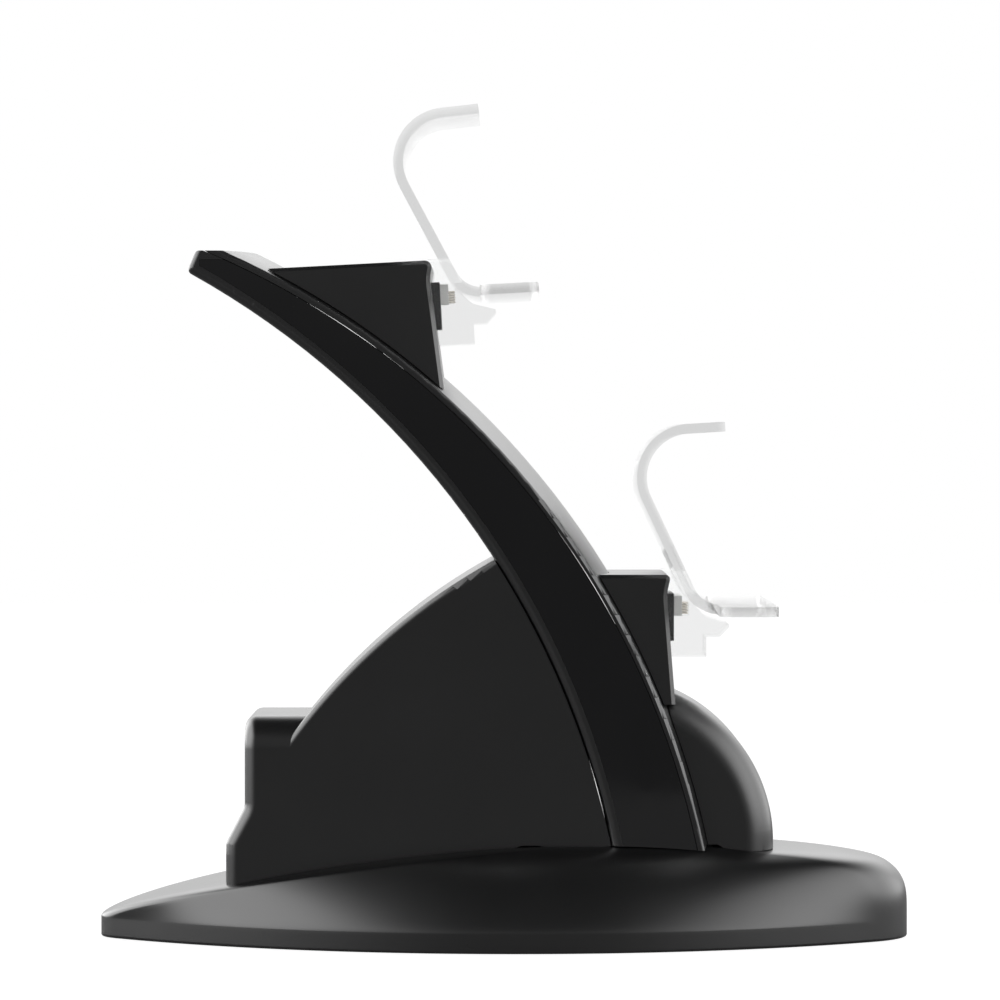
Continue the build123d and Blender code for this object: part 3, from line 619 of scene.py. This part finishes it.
class Bench:
    """Where pieces are copied from the solids, finished and handed over."""

    MEETING = 0.002 * MILLIMETRE
    FLATNESS = radians(0.03)
    SHARPNESS = radians(32)

    def __init__(self, nodes: dict[str, Piece]) -> None:
        """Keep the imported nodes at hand.

        Args:
            nodes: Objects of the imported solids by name.
        """
        self.nodes = nodes

    def copy(self, node: str) -> Piece:
        """Copy a node as one closed mesh with its flat faces whole.

        Args:
            node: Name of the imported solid.

        Returns:
            The new object.
        """
        shape = bmesh.new()
        shape.from_mesh(self.nodes[node].data)
        bmesh.ops.remove_doubles(shape, verts=shape.verts, dist=self.MEETING)
        bmesh.ops.dissolve_limit(shape, angle_limit=self.FLATNESS, verts=shape.verts, edges=shape.edges)
        shape.verts.index_update()
        points = [vert.co[:] for vert in shape.verts]
        faces = [[vert.index for vert in face.verts] for face in shape.faces]
        shape.free()
        mesh = bpy.data.meshes.new(f"{node}_finished")
        mesh.from_pydata(points, [], faces)
        mesh.update()
        piece = bpy.data.objects.new(f"{node}_finished", mesh)
        bpy.context.scene.collection.objects.link(piece)
        return piece

    def soften(
        self, piece: Piece, picked: Callable[[bmesh.types.BMEdge], bool], radius: float
    ) -> None:
        """Give some edges of a piece a larger round.

        Args:
            piece: The piece's object.
            picked: Tells whether an edge is rounded.
            radius: Radius of the round in metres.
        """
        shape = bmesh.new()
        shape.from_mesh(piece.data)
        shape.normal_update()
        edges = [edge for edge in shape.edges if picked(edge)]
        bmesh.ops.bevel(
            shape, geom=edges, offset=radius, offset_type="OFFSET", segments=5, profile=0.5,
            affect="EDGES", clamp_overlap=True,
        )
        bmesh.ops.remove_doubles(shape, verts=shape.verts, dist=self.MEETING)
        shape.to_mesh(piece.data)
        shape.free()

    def let_down(self, piece: Piece, below: float, drop: Callable[[float], float]) -> None:
        """Let the foot of a piece down into what it stands on.

        Args:
            piece: The piece's object.
            below: Height of the foot's top in metres.
            drop: Gives how far a point at a place along X goes down.
        """
        for vert in piece.data.vertices:
            if vert.co.z < below:
                vert.co.z -= drop(vert.co.x)

    def round_edges(self, piece: Piece, width: float, segments: int = 3) -> None:
        """Break the sharp edges of a piece and even out its shading.

        Args:
            piece: The piece's object.
            width: Width of the rounding in metres.
            segments: Facets across the rounding.
        """
        for face in piece.data.polygons:
            face.use_smooth = True
        rounding = piece.modifiers.new("rounded_edges", "BEVEL")
        rounding.width = width
        rounding.segments = segments
        rounding.limit_method = "ANGLE"
        rounding.angle_limit = self.SHARPNESS
        shading = piece.modifiers.new("even_shading", "WEIGHTED_NORMAL")
        shading.keep_sharp = True

    def hand_over(self, piece: Piece, slot: Slot, *nodes: str) -> None:
        """Give a piece its finish and its place in the table.

        Args:
            piece: The piece's object.
            slot: The slot that it takes its finish from.
            nodes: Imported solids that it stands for.
        """
        piece.data.materials.clear()
        piece.data.materials.append(FINISHES[slot].material())
        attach(piece, ROOT_BODY)
        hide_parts(*nodes)
        LOG.info("%s stands for %s", piece.name, ", ".join(nodes))

    def dressed_copy(self, node: str, slot: Slot, width: float) -> Piece:
        """Copy a node, round its edges and hand it over.

        Args:
            node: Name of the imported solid.
            slot: The slot that it takes its finish from.
            width: Width of the rounding in metres.

        Returns:
            The finished piece.
        """
        piece = self.copy(node)
        self.round_edges(piece, width)
        self.hand_over(piece, slot, node)
        return piece

    def keep(self, node: str, slot: Slot) -> None:
        """Leave a node as it is, with its own finish.

        Args:
            node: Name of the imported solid.
            slot: The slot that it takes its finish from.
        """
        for place in self.nodes[node].material_slots:
            place.material = FINISHES[slot].material()
        LOG.info("%s is shown as packed", node)


@dataclass
class BaseDome:
    """Base shell: level outlines of side arcs and rounded ends, which draw in towards the top."""

    LABELS: ClassVar[tuple[str, ...]] = (
        "Length", "Width", "Widest X", "Floor Z", "Rim Z", "Top Z", "Wall", "Middle X", "Bottom Round",
        "Front Sag", "Rim Softness",
    )
    bench: Bench
    length: float = 175.0 * MILLIMETRE
    width: float = 80.0 * MILLIMETRE
    widest_x: float = 2.5 * MILLIMETRE
    floor_z: float = 0.3 * MILLIMETRE
    rim_z: float = 4.5 * MILLIMETRE
    top_z: float = 21.2 * MILLIMETRE
    wall: float = 2.2 * MILLIMETRE
    middle_x: float = 27.0 * MILLIMETRE
    bottom_round: float = 0.25 * MILLIMETRE
    front_sag: float = 1.0 * MILLIMETRE
    sag_start: float = 38.0 * MILLIMETRE
    sag_end: float = 58.0 * MILLIMETRE
    sag_shares: Span = (0.72, 0.98)
    rim_softness: float = 0.035
    front_tip_share: float = 0.2375
    rear_corner_share: float = 0.88
    side_reach_share: float = 0.231
    front_reach_share: float = 0.206
    rear_reach_share: float = 0.514
    side_powers: Span = (1.0, 1.9)
    front_powers: Span = (3.6, 2.6)
    rear_powers: Span = (1.4, 1.25)
    tip_end: float = 0.16
    side_end: float = 0.72
    corner_end: float = 0.9
    wall_end: float = 0.16
    shoulder_end: float = 0.93
    columns: int = 193
    rows: int = 49

    def rear_corner(self) -> float:
        """Radius of the two corners of the rear end along the rim.

        Returns:
            The radius in metres.
        """
        half = self.width / 2
        tip = self.front_tip_share * self.width
        tip_x = self.length / 2 - tip - self.widest_x
        radius = (half**2 + tip_x**2 - tip**2) / (2 * (half - tip))
        run = self.length / 2 + self.widest_x
        end_half = sqrt(radius**2 - run**2) - radius + half
        return self.rear_corner_share * end_half * tan((pi / 2 + asin(run / radius)) / 2)

    def sizes(self) -> dict[str, float]:
        """Sizes for the tree's inputs.

        Returns:
            A length in metres for each name.
        """
        own = {label: getattr(self, label.lower().replace(" ", "_")) for label in self.LABELS}
        return {
            **own,
            "Front Tip": self.front_tip_share * self.width,
            "Rear Corner": self.rear_corner(),
            "Side Reach": self.side_reach_share * self.width,
            "Front Reach": self.front_reach_share * self.length,
            "Rear Reach": self.rear_reach_share * self.length,
        }

    def shoulder(self, share: Value, reach: Value, powers: Span) -> Value:
        """How far a shoulder has come inwards at a share of its height."""
        return reach * (1.0 - (1.0 - share ** powers[0]) ** (1.0 / powers[1]))

    def outline(self, recipe: Recipe, turn: Value, share: Value, inset: Number) -> tuple[Value, Value]:
        """Point of a level outline.

        Args:
            recipe: The tree that is built.
            turn: How far the point lies round the outline from the middle of the rear end.
            share: Share of the height between rim and top.
            inset: How far the outline lies inside the shell's outer face.

        Returns:
            X and Y of the point.
        """
        widest = recipe.size("Widest X")
        half = recipe.size("Width") / 2 - inset
        half = half - self.shoulder(share, recipe.size("Side Reach"), self.side_powers)
        front = recipe.size("Length") / 2 - inset
        rear = self.shoulder(share, recipe.size("Rear Reach"), self.rear_powers) - front
        front = front - self.shoulder(share, recipe.size("Front Reach"), self.front_powers)
        tip = recipe.size("Front Tip") - inset
        corner = recipe.size("Rear Corner") - inset
        tip_x = front - tip - widest
        radius = (half * half + tip_x * tip_x - tip * tip) / (2 * (half - tip))
        offset = radius - half
        corner_x = rear + corner
        corner_run = corner_x - widest
        corner_reach = ((radius - corner) ** 2 - corner_run * corner_run).root()
        corner_y = corner_reach - offset
        tip_turn = offset.bearing(tip_x)
        side_turn = corner_reach.bearing(corner_run)
        way = abs(2 * turn - 1)
        first = tip_turn * way.share(0, self.tip_end)
        second = tip_turn + (side_turn - tip_turn) * way.share(self.tip_end, self.side_end)
        third = side_turn + (pi - side_turn) * way.share(self.side_end, self.corner_end)
        on_tip = way.below(self.tip_end)
        on_side = way.below(self.side_end) - on_tip
        on_corner = way.below(self.corner_end) - way.below(self.side_end)
        on_end = 1 - way.below(self.corner_end)
        x = on_tip * (front - tip + tip * first.cosine()) + on_side * (widest + radius * second.cosine())
        x = x + on_corner * (corner_x + corner * third.cosine()) + on_end * rear
        y = on_tip * tip * first.sine() + on_side * (radius * second.sine() - offset)
        y = y + on_corner * (corner_y + corner * third.sine())
        y = y + on_end * corner_y * (1 - way.share(self.corner_end, 1))
        return x, y * (turn - 0.5).sign()

    def skin(self, recipe: Recipe, inner: bool) -> Rule:
        """Rule of the outer or the inner face of the shell.

        Args:
            recipe: The tree that is built.
            inner: Whether it is the inner face.

        Returns:
            The rule, from the floor up to the middle of the top.
        """
        drop = recipe.size("Wall") if inner else recipe.size("Wall") * 0
        floor = recipe.size("Floor Z")
        rim = recipe.size("Rim Z") - drop
        top = recipe.size("Top Z") - drop
        round_size = recipe.size("Bottom Round")

        def rule(turn: Value, up: Value) -> tuple[Number, Number, Number]:
            """Place of one point of the face."""
            climb = up.share(0, self.wall_end) ** 2 * (rim - floor)
            rise = up.share(self.wall_end, self.shoulder_end)
            share = rise * rise * (3 - 2 * rise)
            eased = share * share / (share + recipe.size("Rim Softness") * (1 - share))
            turned_in = drop if inner else round_size * (1 - (climb / round_size).share(0, 1)) ** 2
            x, y = self.outline(recipe, turn, eased, turned_in)
            ending = up.share(self.shoulder_end, 1)
            sag = recipe.size("Front Sag") * x.ramp(self.sag_start, self.sag_end)
            z = floor + climb + share * (top - rim) - sag * share.ramp(*self.sag_shares)
            return x + ending * (recipe.size("Middle X") - x), y * (1 - ending), z

        return rule

    def build(self) -> None:
        """Make the base shell by its rule."""
        recipe = Recipe("base_dome", self.sizes())

        def lip(turn: Value, out: Value) -> tuple[Number, Number, Number]:
            """Place of one point of the level edge that joins both faces."""
            wall = recipe.size("Wall")
            inset = wall + out * (recipe.size("Bottom Round") - wall)
            x, y = self.outline(recipe, turn, out * 0, inset)
            return x, y, recipe.size("Floor Z")

        outer = recipe.patch(self.columns, self.rows, self.skin(recipe, False))
        inner = recipe.patch(self.columns, self.rows, self.skin(recipe, True))
        inner = recipe.graph.link("GeometryNodeFlipFaces", None, {0: inner})
        recipe.close(recipe.weld(outer, recipe.patch(self.columns, 2, lip), inner), Slot.SATIN)
        dome = recipe.make("base_shell_finished", self.sizes())
        dome.data.set_sharp_from_angle(angle=radians(50))
        self.bench.hand_over(dome, Slot.SATIN, "base_shell")


@dataclass
class Screws:
    """Screws with a rounded head, a cross recess and a thread."""

    bench: Bench
    head: float = 5.4 * MILLIMETRE
    head_height: float = 1.2 * MILLIMETRE
    head_round: float = 0.45 * MILLIMETRE
    shank: float = 2.6 * MILLIMETRE
    tip: float = 1.2 * MILLIMETRE
    pitch: float = 0.9 * MILLIMETRE
    thread_depth: float = 0.28 * MILLIMETRE
    recess_length: float = 2.8 * MILLIMETRE
    recess_width: float = 0.62 * MILLIMETRE
    recess_depth: float = 0.7 * MILLIMETRE
    columns: int = 33
    rows: int = 181
    head_rows: tuple[float, ...] = (0.03, 0.06, 0.08, 0.11, 0.95)

    def sizes(self, node: str) -> Sizes:
        """Sizes of one node's screws, read from the node's box.

        Args:
            node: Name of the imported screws.

        Returns:
            A size for each of the tree's inputs.
        """
        low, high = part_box(node)
        span = high.x - low.x - self.head
        count = 2 if span > self.head else 1
        return {
            "Head": self.head,
            "Head Height": self.head_height,
            "Head Round": self.head_round,
            "Shank": self.shank,
            "Length": high.z - low.z - self.head_height,
            "Count": count,
            "First Place": (low.x + self.head / 2, 0.0, low.z),
            "Step": (span, 0.0, 0.0),
        }

    def tree(self) -> Recipe:
        """Tree that makes a row of screws.

        Returns:
            The tree.
        """
        recipe = Recipe("screws", self.sizes("base_screws"))
        head = recipe.size("Head") / 2
        height = recipe.size("Head Height")
        round_size = recipe.size("Head Round")
        shank = recipe.size("Shank") / 2
        face_end, round_end, side_end, seat_end, shank_end = self.head_rows

        def rule(turn: Value, along: Value) -> tuple[Number, Number, Number]:
            """Place of one point, from the middle of the head's face to the screw's tip."""
            bend = along.share(face_end, round_end) * (pi / 2)
            shaft = along.share(seat_end, shank_end)
            point = along.share(shank_end, 1)
            z = round_size * (1 - bend.cosine()) + (height - round_size) * along.share(round_end, side_end)
            z = z + (recipe.size("Length") - self.tip) * shaft + self.tip * point
            groove = 0.5 + 0.5 * (2 * pi * (z / self.pitch - turn)).cosine()
            radius = (head - round_size) * along.share(0, face_end) + round_size * bend.sine()
            radius = radius - (head - shank) * along.share(side_end, seat_end)
            radius = radius - self.thread_depth * groove * shaft.ramp(0, 0.05) * (1 - point)
            radius = radius * (1 - point)
            angle = 2 * pi * turn
            return radius * angle.cosine(), radius * angle.sine(), z

        body = recipe.weld(recipe.patch(self.columns, self.rows, rule))
        depth = 2 * self.recess_depth
        spans = (self.recess_length, self.recess_width), (self.recess_width, self.recess_length)
        bars = [recipe.graph.link("GeometryNodeMeshCube", None, {"Size": (*span, depth)}) for span in spans]
        settings = {"operation": "DIFFERENCE", "solver": "EXACT"}
        cut = recipe.graph.link("GeometryNodeMeshBoolean", settings, {"Mesh 1": body, "Mesh 2": bars})
        recipe.close(recipe.repeat(cut, recipe.size("Count")), Slot.STEEL)
        return recipe

    def build(self) -> None:
        """Make the screws of each node."""
        recipe = self.tree()
        for node in ("base_screws", "pedestal_screw", "arm_screw"):
            piece = recipe.make(f"{node}_finished", self.sizes(node))
            piece.data.set_sharp_from_angle(angle=radians(40))
            self.bench.hand_over(piece, Slot.STEEL, node)


@dataclass
class Feet:
    """Round rubber feet with rings on their soles."""

    bench: Bench
    edge: float = 0.2 * MILLIMETRE
    ring_depth: float = 0.15 * MILLIMETRE
    rings: int = 4
    columns: int = 65
    rows: int = 97
    sole_end: float = 0.7
    wall_end: float = 0.85

    def sizes(self, node: str) -> Sizes:
        """Sizes of one foot, read from its node's box.

        Args:
            node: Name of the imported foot.

        Returns:
            A size for each of the tree's inputs.
        """
        low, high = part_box(node)
        middle = (low + high) / 2
        return {
            "Radius": (high.x - low.x) / 2,
            "Height": high.z - low.z,
            "Edge": self.edge,
            "Ring Depth": self.ring_depth,
            "First Place": (middle.x, middle.y, low.z),
            "Step": (0.0, 0.0, 0.0),
        }

    def build(self) -> None:
        """Make the four feet."""
        names = [f"foot_{end}_{side.value}" for end in ("rear", "front") for side in Side]
        recipe = Recipe("feet", self.sizes(names[0]))
        edge = recipe.size("Edge")

        def rule(turn: Value, along: Value) -> tuple[Number, Number, Number]:
            """Place of one point, from the middle of the sole round to the middle of the top."""
            out = along.share(0, self.sole_end)
            up = along.share(self.sole_end, self.wall_end)
            wave = 0.5 - 0.5 * (2 * pi * self.rings * out).cosine()
            corner = abs(2 * up - 1) ** 4
            radius = (recipe.size("Radius") - edge) * out * (1 - along.share(self.wall_end, 1))
            radius = radius + edge * (1 - corner) * out * (1 - along.share(self.wall_end, 1))
            z = recipe.size("Height") * up + recipe.size("Ring Depth") * wave * (1 - up)
            angle = 2 * pi * turn
            return radius * angle.cosine(), radius * angle.sine(), z

        body = recipe.weld(recipe.patch(self.columns, self.rows, rule))
        recipe.close(recipe.repeat(body, 1), Slot.RUBBER)
        for node in names:
            foot = recipe.make(f"{node}_finished", self.sizes(node))
            foot.data.set_sharp_from_angle(angle=radians(50))
            self.bench.hand_over(foot, Slot.RUBBER, node)


@dataclass
class BaseAssembly:
    """Domed base with its bottom plate, feet and screws."""

    bench: Bench
    edge: float = 0.25 * MILLIMETRE

    def build(self) -> None:
        """Make and dress every piece of the base."""
        BaseDome(self.bench).build()
        self.bench.dressed_copy("bottom_plate", Slot.SATIN, self.edge)
        Feet(self.bench).build()
        Screws(self.bench).build()


@dataclass
class PedestalAssembly:
    """Pedestal moulding with the board and the inlet inside it."""

    bench: Bench
    edge: float = 0.12 * MILLIMETRE
    inlet_edge: float = 0.1 * MILLIMETRE
    block_round: float = 2.0 * MILLIMETRE
    half_width: float = 21.0 * MILLIMETRE
    rear_limit: float = -54.0 * MILLIMETRE
    block_limit: float = -38.0 * MILLIMETRE
    foot_z: float = 21.4 * MILLIMETRE
    foot_drop: float = 1.2 * MILLIMETRE
    least_drop: float = 0.4 * MILLIMETRE
    drop_start: float = 0.0

    def block_edge(self, edge: bmesh.types.BMEdge) -> bool:
        """Tell whether an edge is an outer edge of the block's rear or top.

        Args:
            edge: An edge of the pedestal's mesh.

        Returns:
            Whether it is.
        """
        if len(edge.link_faces) != 2:
            return False
        other, flank = sorted((face.normal for face in edge.link_faces), key=lambda normal: abs(normal.y))
        outside = all(abs(vert.co.y) > self.half_width - self.inlet_edge for vert in edge.verts)
        rear = all(vert.co.x < self.rear_limit for vert in edge.verts) and other.x < -0.5
        top = all(vert.co.x < self.block_limit for vert in edge.verts) and other.z > 0.9
        return outside and abs(flank.y) > 0.99 and abs(other.y) < 0.2 and (rear or top)

    def drop(self, x: float) -> float:
        """How far the foot goes down into the base at a place along X.

        Args:
            x: The place in metres.

        Returns:
            The way down in metres.
        """
        share = (self.drop_start - x) / (self.drop_start - self.rear_limit)
        return self.least_drop + self.foot_drop * min(1.0, max(0.0, share))

    def build(self) -> None:
        """Make and dress every piece of the pedestal."""
        shell = self.bench.copy("pedestal_shell")
        self.bench.let_down(shell, self.foot_z, self.drop)
        self.bench.soften(shell, self.block_edge, self.block_round)
        self.bench.round_edges(shell, self.edge)
        self.bench.hand_over(shell, Slot.SATIN, "pedestal_shell")
        self.bench.dressed_copy("power_inlet", Slot.INLET, self.inlet_edge)
        self.bench.dressed_copy("inlet_tongue", Slot.PLUG, self.inlet_edge)
        self.bench.keep("charge_board", Slot.BOARD)


@dataclass
class ArmAssembly:
    """Curved arm of two mouldings with let-in panels, and the nose before its foot."""

    bench: Bench
    edge: float = 0.2 * MILLIMETRE
    nose_foot_z: float = 21.4 * MILLIMETRE
    nose_drop: float = 1.1 * MILLIMETRE

    def build(self) -> None:
        """Make and dress every piece of the arm."""
        self.bench.dressed_copy("arm_rear_shell", Slot.SATIN, self.edge)
        self.bench.dressed_copy("arm_front_cover", Slot.SATIN, self.edge)
        for side in Side:
            panel = self.bench.copy(f"arm_panel_{side.value}")
            panel.data.shade_smooth()
            panel.data.set_sharp_from_angle(angle=self.bench.SHARPNESS)
            self.bench.hand_over(panel, Slot.GLOSS, f"arm_panel_{side.value}")
        nose = self.bench.copy("nose_cover")
        self.bench.let_down(nose, self.nose_foot_z, lambda x: self.nose_drop)
        self.bench.round_edges(nose, self.edge)
        self.bench.hand_over(nose, Slot.SATIN, "nose_cover")


@dataclass
class Contacts:
    """Thin contact blades before the block of each connector, with rounded front edges."""

    bench: Bench
    count: int = 5
    pitch: float = 0.55 * MILLIMETRE
    thickness: float = 0.3 * MILLIMETRE
    length: float = 1.4 * MILLIMETRE
    width: float = 8.0 * MILLIMETRE
    tilts: dict[Level, float] = field(default_factory=lambda: {Level.UPPER: 3.0, Level.LOWER: 0.0})
    columns: int = 9
    round_start: float = 0.25
    bluntness: float = 1.05

    def sizes(self, level: Level) -> Sizes:
        """Sizes of one connector's blades.

        Args:
            level: The cradle that the connector is in.

        Returns:
            A size for each of the tree's inputs.
        """
        low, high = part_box(f"{level.value}_contacts")
        return {
            "Size": (self.length, self.width, self.thickness),
            "Count": self.count,
            "First Place": (0.0, 0.0, -self.pitch * (self.count - 1) / 2),
            "Step": (0.0, 0.0, self.pitch),
            "Middle": tuple((low + high) / 2),
            "Turn": (0.0, -radians(self.tilts[level]), 0.0),
        }

    def build(self) -> None:
        """Make the blades of both connectors."""
        recipe = Recipe("contact_blades", self.sizes(Level.UPPER))
        graph = recipe.graph
        bar = {"Size": recipe.size("Size"), "Vertices X": self.columns}
        blade = graph.link("GeometryNodeMeshCube", None, bar)
        x, y, z = graph.parts(graph.link("GeometryNodeInputPosition"))
        front = x.share(self.round_start * self.length, 0.5 * self.length)
        target = graph.vector(x, y, z * (self.bluntness - front * front).root())
        blade = graph.link("GeometryNodeSetPosition", None, {"Geometry": blade, "Position": target})
        row = recipe.repeat(blade, recipe.size("Count"))
        moves = {"Geometry": row, "Translation": recipe.size("Middle"), "Rotation": recipe.size("Turn")}
        recipe.close(graph.link("GeometryNodeTransform", None, moves), Slot.BRASS)
        for level in Level:
            node = f"{level.value}_contacts"
            self.bench.hand_over(recipe.make(f"{node}_finished", self.sizes(level)), Slot.BRASS, node)


@dataclass
class Cradle:
    """Head, clear bracket and connector of one cradle."""

    bench: Bench
    level: Level
    edge: float = 0.25 * MILLIMETRE
    flange_edge: float = 0.15 * MILLIMETRE
    block_edge: float = 0.1 * MILLIMETRE

    def build(self) -> None:
        """Make and dress every piece of the cradle."""
        name = self.level.value
        self.bench.dressed_copy(f"{name}_head", Slot.SATIN, self.edge)
        self.bench.dressed_copy(f"{name}_bracket", Slot.CLEAR, self.edge)
        self.bench.dressed_copy(f"{name}_plug_flange", Slot.PLUG, self.flange_edge)
        self.bench.dressed_copy(f"{name}_contact_block", Slot.IVORY, self.block_edge)
        self.bench.keep(f"{name}_lead", Slot.SHEATH)


@dataclass
class Studio:
    """Camera at the photograph's place, white tent, lamps and a pale floor."""

    eye: Triple = (-0.0009, -1.050, 0.110)
    target: Triple = (-0.0009, 0.0, 0.09476)
    lens: float = 174.1
    ambient: float = 0.5
    tent_front: float = 0.19
    tent_front_rise: float = 0.15
    tent_back: float = 0.8
    tent_back_rise: float = 1.9
    tent_left: float = 5.0
    tent_right: float = 3.6
    tent_roof: float = 0.05
    left_span: Span = (0.2, 0.6)
    left_depth: Span = (-1.2, -0.2)
    right_span: Span = (0.35, 0.9)
    back_height: Span = (0.1, 0.45)
    back_depth: Span = (-0.2, 0.5)
    front_height: Span = (-0.02, 0.1)
    roof_height: Span = (0.55, 0.9)
    roof_opening: Span = (0.3, 0.65)
    floor_near: float = -0.47
    floor_far: float = 2.0
    floor_half: float = 1.6
    floor_tone: float = 0.4
    floor_seen_tone: float = 0.25
    floor_glow: float = 0.94
    floor_sheen: float = 0.08
    lamp_width: float = 0.9
    lamp_height: float = 0.9
    lamp_target: Triple = (0.0, 0.0, 0.08)
    lamps: dict[str, tuple[Triple, float]] = field(
        default_factory=lambda: {
            "left_box": ((-0.9, -0.5, 0.5), 3.5),
            "right_box": ((0.9, -0.5, 0.5), 3.0),
        }
    )

    def camera(self) -> None:
        """Place the camera."""
        data = bpy.data.cameras.new("photo_camera")
        data.lens = self.lens
        data.sensor_width = 36.0
        eye = bpy.data.objects.new("photo_camera", data)
        eye.location = self.eye
        aim = Vector(self.target) - Vector(self.eye)
        eye.rotation_euler = aim.to_track_quat("-Z", "Y").to_euler()
        bpy.context.scene.collection.objects.link(eye)
        bpy.context.scene.camera = eye

    def seen(self, graph: Graph, path: bpy.types.Node) -> Value:
        """1 for rays from the camera or through clear plastic, else 0."""
        camera = Value(graph, path.outputs["Is Camera Ray"])
        return camera.larger(Value(graph, path.outputs["Is Transmission Ray"]))

    def tent(self) -> None:
        """White surroundings, brightest to the left and dim overhead and towards the camera."""
        world = bpy.data.worlds.new("white_tent")
        world.use_nodes = True
        graph = Graph(world.node_tree)
        path = graph.node("ShaderNodeLightPath")
        across, depth, height = graph.parts(graph.node("ShaderNodeTexCoord").outputs["Generated"])
        seen = self.seen(graph, path)
        mirrored = Value(graph, path.outputs["Is Glossy Ray"])
        leftwards = 0.0 - across
        left = self.tent_left * leftwards.ramp(*self.left_span) * depth.ramp(*self.left_depth)
        right = self.tent_right * across.ramp(*self.right_span)
        back = self.tent_back + self.tent_back_rise * height.ramp(*self.back_height)
        back = back * depth.ramp(*self.back_depth)
        front = self.tent_front + self.tent_front_rise * height.ramp(*self.front_height)
        walls = front + back.larger(left).larger(right)
        covered = height.ramp(*self.roof_height) * (1.0 - leftwards.ramp(*self.roof_opening))
        tent = walls + (self.tent_roof - walls) * covered
        level = seen + (1.0 - seen) * (mirrored * tent + (1.0 - mirrored) * self.ambient)
        light = graph.link("ShaderNodeBackground", None, {"Color": (*WHITE, 1.0), "Strength": level})
        graph.node("ShaderNodeOutputWorld", None, {"Surface": light})
        bpy.context.scene.world = world

    def lights(self) -> None:
        """Soft boxes before the dock, to its left and right in the picture."""
        for name, (place, power) in self.lamps.items():
            data = bpy.data.lights.new(name, "AREA")
            data.shape = "RECTANGLE"
            data.size = self.lamp_width
            data.size_y = self.lamp_height
            data.energy = power
            lamp = bpy.data.objects.new(name, data)
            lamp.location = place
            aim = Vector(self.lamp_target) - Vector(place)
            lamp.rotation_euler = aim.to_track_quat("-Z", "Y").to_euler()
            lamp.visible_camera = False
            bpy.context.scene.collection.objects.link(lamp)

    def floor(self) -> None:
        """Pale table top that ends before the camera and keeps a faint shadow."""
        half = self.floor_half
        points = [
            (-half, self.floor_near, 0.0),
            (half, self.floor_near, 0.0),
            (half, self.floor_far, 0.0),
            (-half, self.floor_far, 0.0),
        ]
        mesh = bpy.data.meshes.new("table_top")
        mesh.from_pydata(points, [], [(0, 1, 2, 3)])
        table = bpy.data.objects.new("table_top", mesh)
        bpy.context.scene.collection.objects.link(table)
        material = bpy.data.materials.new("table_white")
        material.use_nodes = True
        graph = Graph(material.node_tree)
        path = graph.node("ShaderNodeLightPath")
        mirrored = Value(graph, path.outputs["Is Glossy Ray"])
        seen = self.seen(graph, path).larger(self.floor_sheen * mirrored)
        plain = graph.link("ShaderNodeBsdfDiffuse", None, {"Color": shade(WHITE, self.floor_tone)})
        pale = graph.link("ShaderNodeBsdfDiffuse", None, {"Color": shade(WHITE, self.floor_seen_tone)})
        glow = graph.link("ShaderNodeEmission", None, {"Strength": self.floor_glow})
        bright = graph.link("ShaderNodeAddShader", None, {0: pale, 1: glow})
        mixed = graph.link("ShaderNodeMixShader", None, {0: seen, 1: plain, 2: bright})
        graph.node("ShaderNodeOutputMaterial", None, {"Surface": mixed})
        mesh.materials.append(material)

    def build(self) -> None:
        """Set up the whole studio."""
        self.camera()
        self.tent()
        self.lights()
        self.floor()
        bpy.context.scene.view_settings.view_transform = "Standard"


def main() -> None:
    """Build the dock and its studio."""
    logging.basicConfig(level=logging.INFO, format="%(name)s: %(message)s")
    bench = Bench(frame["nodes"])
    Studio().build()
    BaseAssembly(bench).build()
    PedestalAssembly(bench).build()
    ArmAssembly(bench).build()
    for level in Level:
        Cradle(bench, level).build()
    Contacts(bench).build()


if __name__ == "__main__":
    main()
